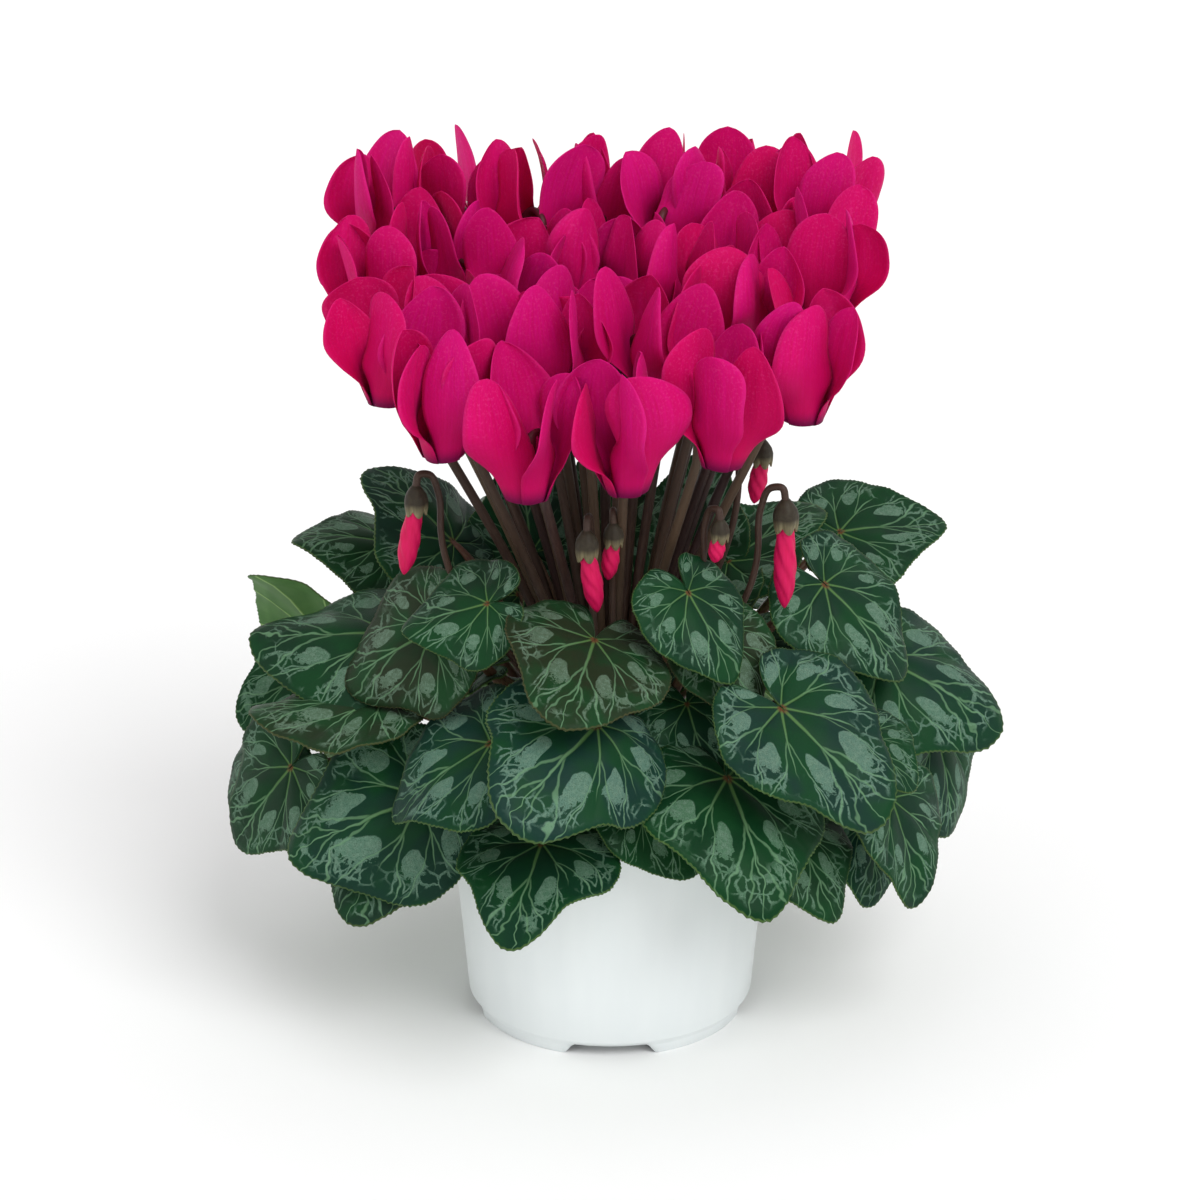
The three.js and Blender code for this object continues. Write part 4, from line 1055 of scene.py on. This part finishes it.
def bloomStemPart(bloom):  # up between two petals and over to the calyx on the corolla tube
    inward = np.array([math.cos(bloom["inward"]), math.sin(bloom["inward"]), 0])

    def at(r, z):
        return placed(bloom, (inward * r + [0, 0, z])[None, :])[0]

    reach = bloomLook["neckReach"]
    climb = risingStem(stemFoot(bloom["mouth"]), at(reach, -6))
    tubeTop = bloomLook["tubeHeight"] + plant["gap"]
    hook = [at(reach, -6), at(reach, 10), at(11, 20), at(4, 21), at(0, 16), at(0, tubeTop)]
    over, share = smoothPath(hook, 6)
    radii = throughPoints([0, 0.3, 0.55, 0.75, 0.88, 1], [1.8, 1.7, 1.6, 1.7, 3.4, 4.4], share)
    path = np.concatenate([climb[:-1], over])
    radii = np.concatenate([np.linspace(2.0, 1.85, len(climb) - 1), radii])
    # a third share of 1 gives the hook its purple and painted shade
    return tubePart(path, radii, 12, tone=(randomDraws.uniform(0, 1), randomDraws.uniform(0, 1), 1))


def budStemPart(bud):
    calyx, size = bud["calyx"], bud["size"]
    inward = np.array([-calyx[0], -calyx[1], 0]) / math.hypot(calyx[0], calyx[1])

    def at(r, z):
        return calyx + inward * r * size + [0, 0, z * size]

    climb = risingStem(stemFoot(calyx), at(10, -14), (0.95, 0.6))
    over = smoothPath([at(10, -14), at(9, 2), at(5.5, 9.4), at(1.4, 10), at(0, 5)], 7)[0]
    path = np.concatenate([climb[:-1], over])
    radii = np.concatenate([np.linspace(1.6, 1.3, len(climb) - 1), np.linspace(1.3, 1.5, len(over))])
    return tubePart(path, radii, 10, tone=stemLook["evenTone"])


def calyxPart(bud):
    size = bud["size"]
    outline = [
        [0.05, 1], [3.2, -1], [3.3, -5], [3.9, -5], [4.4, -2.4], [4.5, 0], [3.9, 2.4], [2.6, 4.6],
        [1.5, 6], [0.05, 6.2],
    ]

    def sepals(a, radius, height):
        points = np.abs(np.cos(2.5 * a))  # five sepals with a point each
        low = smoothStep(0, -5, height)
        radius = radius * (1 + 0.07 * (points - 0.5) * smoothStep(6, 2, height))
        return radius, height - low * (2.6 * points - 1.6)

    part = turnedPart(np.array(outline) * size, 50, shape=sepals)
    part["points"] = part["points"] + bud["calyx"]
    return part


def furledPetalsPart(bud):
    top = bud["calyx"] - [0, 0, budLook["petalsIn"] * bud["size"]]
    share = np.linspace(0, 1, 30)
    path = top + share[:, None] * (bud["tip"] - top)
    radii = throughPoints([0, 0.2, 0.5, 0.8, 0.95, 1], [2.9, 3.1, 3.8, 3.0, 1.4, 0.4], share) * bud["size"]

    def wrapped(a, along):  # five petals rolled round each other like an umbrella
        turn = (a + 4.2 * along) * 5 / (2 * math.pi) % 1
        return 0.9 + 0.2 * turn ** 0.7 - 0.1 * smoothStep(0.85, 1, turn)

    return tubePart(path, radii, 40, ridges=wrapped)


def calyxMaterial():
    # Calyx skin: grey-brown over olive green, with paler edges to the sepals.
    look = budLook
    material, tree, shader = newMaterial("grey-brown calyx", 0.55, 0.3)
    uv, _, along = surfaceMap(tree)
    place = addNode(tree, "TexCoord", {}).outputs["Object"]
    mottle = addNode(tree, "TexNoise", {"Vector": place, "Scale": perMetre(look["mottle"]), "Detail": 4})
    perRib = [covered / size for covered, size in zip(look["calyxSize"], look["rib"])]
    ribs = addNode(tree, "Mapping", {"Vector": uv, "Scale": (*perRib, 1)})
    streaks = addNode(tree, "TexNoise", {"Vector": ribs, "Scale": 1, "Detail": 2})
    low = addNode(tree, "MapRange", {0: along, 1: 0.6, 2: 0.42, 4: 1.36})
    pale = addNode(tree, "Math", {"operation": "MULTIPLY", "use_clamp": True, 0: low, 1: streaks})
    brown, olive, edge = look["calyx"]
    dress(tree, shader, layered(tree, brown, [(mottle, olive), (pale, edge)]), mottle, 0.5, 0.4)
    return material


def budMaterial():
    # Furled bud: the same petal tissue packed tight, so redder and a little shinier.
    look = budLook
    material, tree, shader = newMaterial("hot pink furled petals", 0.5, 0.2)
    uv = surfaceMap(tree)[0]
    perStreak = [covered / size for covered, size in zip(look["budSize"], look["streak"])]
    fan = addNode(tree, "Mapping", {"Vector": uv, "Scale": (*perStreak, 1)})
    streaks = addNode(tree, "TexNoise", {"Vector": fan, "Scale": 1, "Detail": 3})
    red, pink = look["bud"]
    dress(tree, shader, layered(tree, red, [(streaks, pink)]))
    return material


def buildStems():
    skin = stemMaterial("purple-brown flower stem", *stemLook["flowerStem"])
    buds = []
    for x, y, z, aside, drop, size in budTable:
        buds.append({
            "calyx": np.array([x, y, z], float),
            "tip": np.array([x + aside, y, z - drop - 5 * size], float),
            "size": size,
        })
    crown = [[0.05, 95.3], [14, 95.3], [14.5, 96], [14, 97.6], [11, 98.5], [0.05, 98.6]]
    stems = [bloomStemPart(bloom) for bloom in blooms] + [budStemPart(bud) for bud in buds]
    stems.append(turnedPart(crown, 40, tone=stemLook["evenTone"]))
    makePiece("flowerStems", stems, [skin], ["flower_stems"])
    calyxSkin = calyxMaterial()
    budSkin = budMaterial()
    for i, bud in enumerate(buds):
        makePiece(f"budPetals_{i + 1}", [furledPetalsPart(bud)], [budSkin], [f"bud_{i + 1}"])
        makePiece(f"calyx_{i + 1}", [calyxPart(bud)], [calyxSkin])


buildStems()
print("stems and buds ready")


# Pot, soil and tuber

# Injection-moulded polypropylene: even white, slightly satin, faint lines of its flow.
pot = {
    "height": 100, "rimRadius": 66, "rimHeight": 9, "footRadius": 53, "wall": 1.6,
    "flare": 2.3, "taper": 0.09,  # of the wall over the foot, and in mm for each mm of height
    "stepHeight": 7, "floor": (5, 6.6), "notchHalf": 16, "notchSlant": 2.5, "notchHeight": 4.8,
    "name": "white moulded polypropylene", "roughness": 0.38, "specular": 0.5, "ior": 1.49,
    "dark": "e0e6e7", "pale": "e9eeee", "grain": (11.11, 11.11, 92.59), "detail": 3, "bump": (0.12, 0.3),
}

# Peat compost: dark fibrous crumbs, matt, nearly black where it is damp.
peat = {
    "foot": 7, "top": 89.4, "edge": 87.4, "pitRadius": 28.3, "pitFloor": 79.7, "crumbHeight": 0.5,
    "name": "damp peat", "roughness": 0.95, "specular": 0.1, "ior": 1.45,
    "dark": "120d0a", "pale": "3c2c20", "grain": (2.632, 2.632, 2.632), "detail": 6, "bump": (1, 2),
}

# Cyclamen corm: corky brown bark with shallow cracks, quite dull.
tuber = {
    "outline": [
        [0.05, 80], [20, 80], [24.6, 81], [27.4, 83.6], [28, 87], [27.9, 91], [27.2, 94],
        [26, 95], [15, 95], [0.05, 95],
    ],
    "name": "corky tuber bark", "roughness": 0.85, "specular": 0.2, "ior": 1.45,
    "dark": "2f2018", "pale": "6a4c36", "grain": (6.25, 6.25, 6.25), "detail": 5, "bump": (0.8, 1),
}


def wallAt(z):  # outer radius of the pot above its step
    return pot["footRadius"] + pot["flare"] + pot["taper"] * z


def buildPot():
    foot, wall, rim, step = (pot[key] for key in ("footRadius", "wall", "rimRadius", "stepHeight"))
    h, shoulder = pot["height"], pot["height"] - pot["rimHeight"]
    under, floor = pot["floor"]
    outline = [
        [0.05, under], [foot - wall - 1, under], [foot - wall, 4.2], [foot - wall, 0.2],
        [foot - wall + 0.3, 0], [foot - 0.3, 0], [foot, 0.3], [foot + 0.3, step - 3.4],
        [foot + 0.8, step - 2.6], [wallAt(step) - 0.5, step - 0.6], [wallAt(step), step + 0.2],
        [wallAt(30), 30], [wallAt(60), 60], [wallAt(shoulder) - 0.1, shoulder - 0.8],
        [wallAt(shoulder) + 0.3, shoulder + 0.1], [rim - 0.9, shoulder + 1.2], [rim - 0.3, shoulder + 2],
        [rim, h - 1.2], [rim - 0.4, h - 0.3], [rim - 1, h], [rim - 1.7, h], [rim - 2, h - 0.6],
        [wallAt(shoulder) - wall, shoulder - 1], [wallAt(floor) - wall, floor + 0.8],
        [wallAt(floor) - wall - 1, floor], [0.05, floor],
    ]

    def notched(a, radius, height):  # four notches in the foot ring, open downwards
        quarter = (a + math.pi / 4) % (math.pi / 2) - math.pi / 4
        across = np.abs(foot * np.sin(quarter))
        cut = smoothStep(pot["notchHalf"] + pot["notchSlant"], pot["notchHalf"] - pot["notchSlant"], across)
        ring = (height < 4.5) & (radius > foot - wall - 0.5)
        return radius, np.where(ring, np.maximum(height, pot["notchHeight"] * cut), height)

    shell = turnedPart(outline, 240, shape=notched)
    makePiece("potShell", [shell], [grainedMaterial(pot)], ["pot"])


def buildSoil():
    edge = wallAt(88) - pot["wall"] - 0.4
    outline = [[0.05, peat["foot"]], [wallAt(5) - pot["wall"] - 0.5, peat["foot"]], [edge, peat["edge"]]]
    outline += [[r, peat["top"]] for r in np.linspace(edge - 0.6, peat["pitRadius"] + 0.1, 24)]
    outline += [[peat["pitRadius"], peat["pitFloor"] + 4], [24, peat["pitFloor"]], [0.05, peat["pitFloor"]]]

    def crumbly(a, radius, height):
        crumbs = 0.5 * np.sin(9 * a + radius * 0.7) + 0.4 * np.sin(23 * a - radius * 1.9)
        crumbs = crumbs + 0.35 * np.sin(41 * a + radius * 2.7)
        return radius, height + peat["crumbHeight"] * (height > 88) * crumbs

    surface = turnedPart(outline, 180, shape=crumbly)
    makePiece("peat", [surface], [grainedMaterial(peat)], ["soil"])


def buildTuber():
    bark = turnedPart(tuber["outline"], 96)
    makePiece("tuberBark", [bark], [grainedMaterial(tuber)], ["tuber"])


buildPot()
buildSoil()
buildTuber()
print("pot, soil and tuber ready")
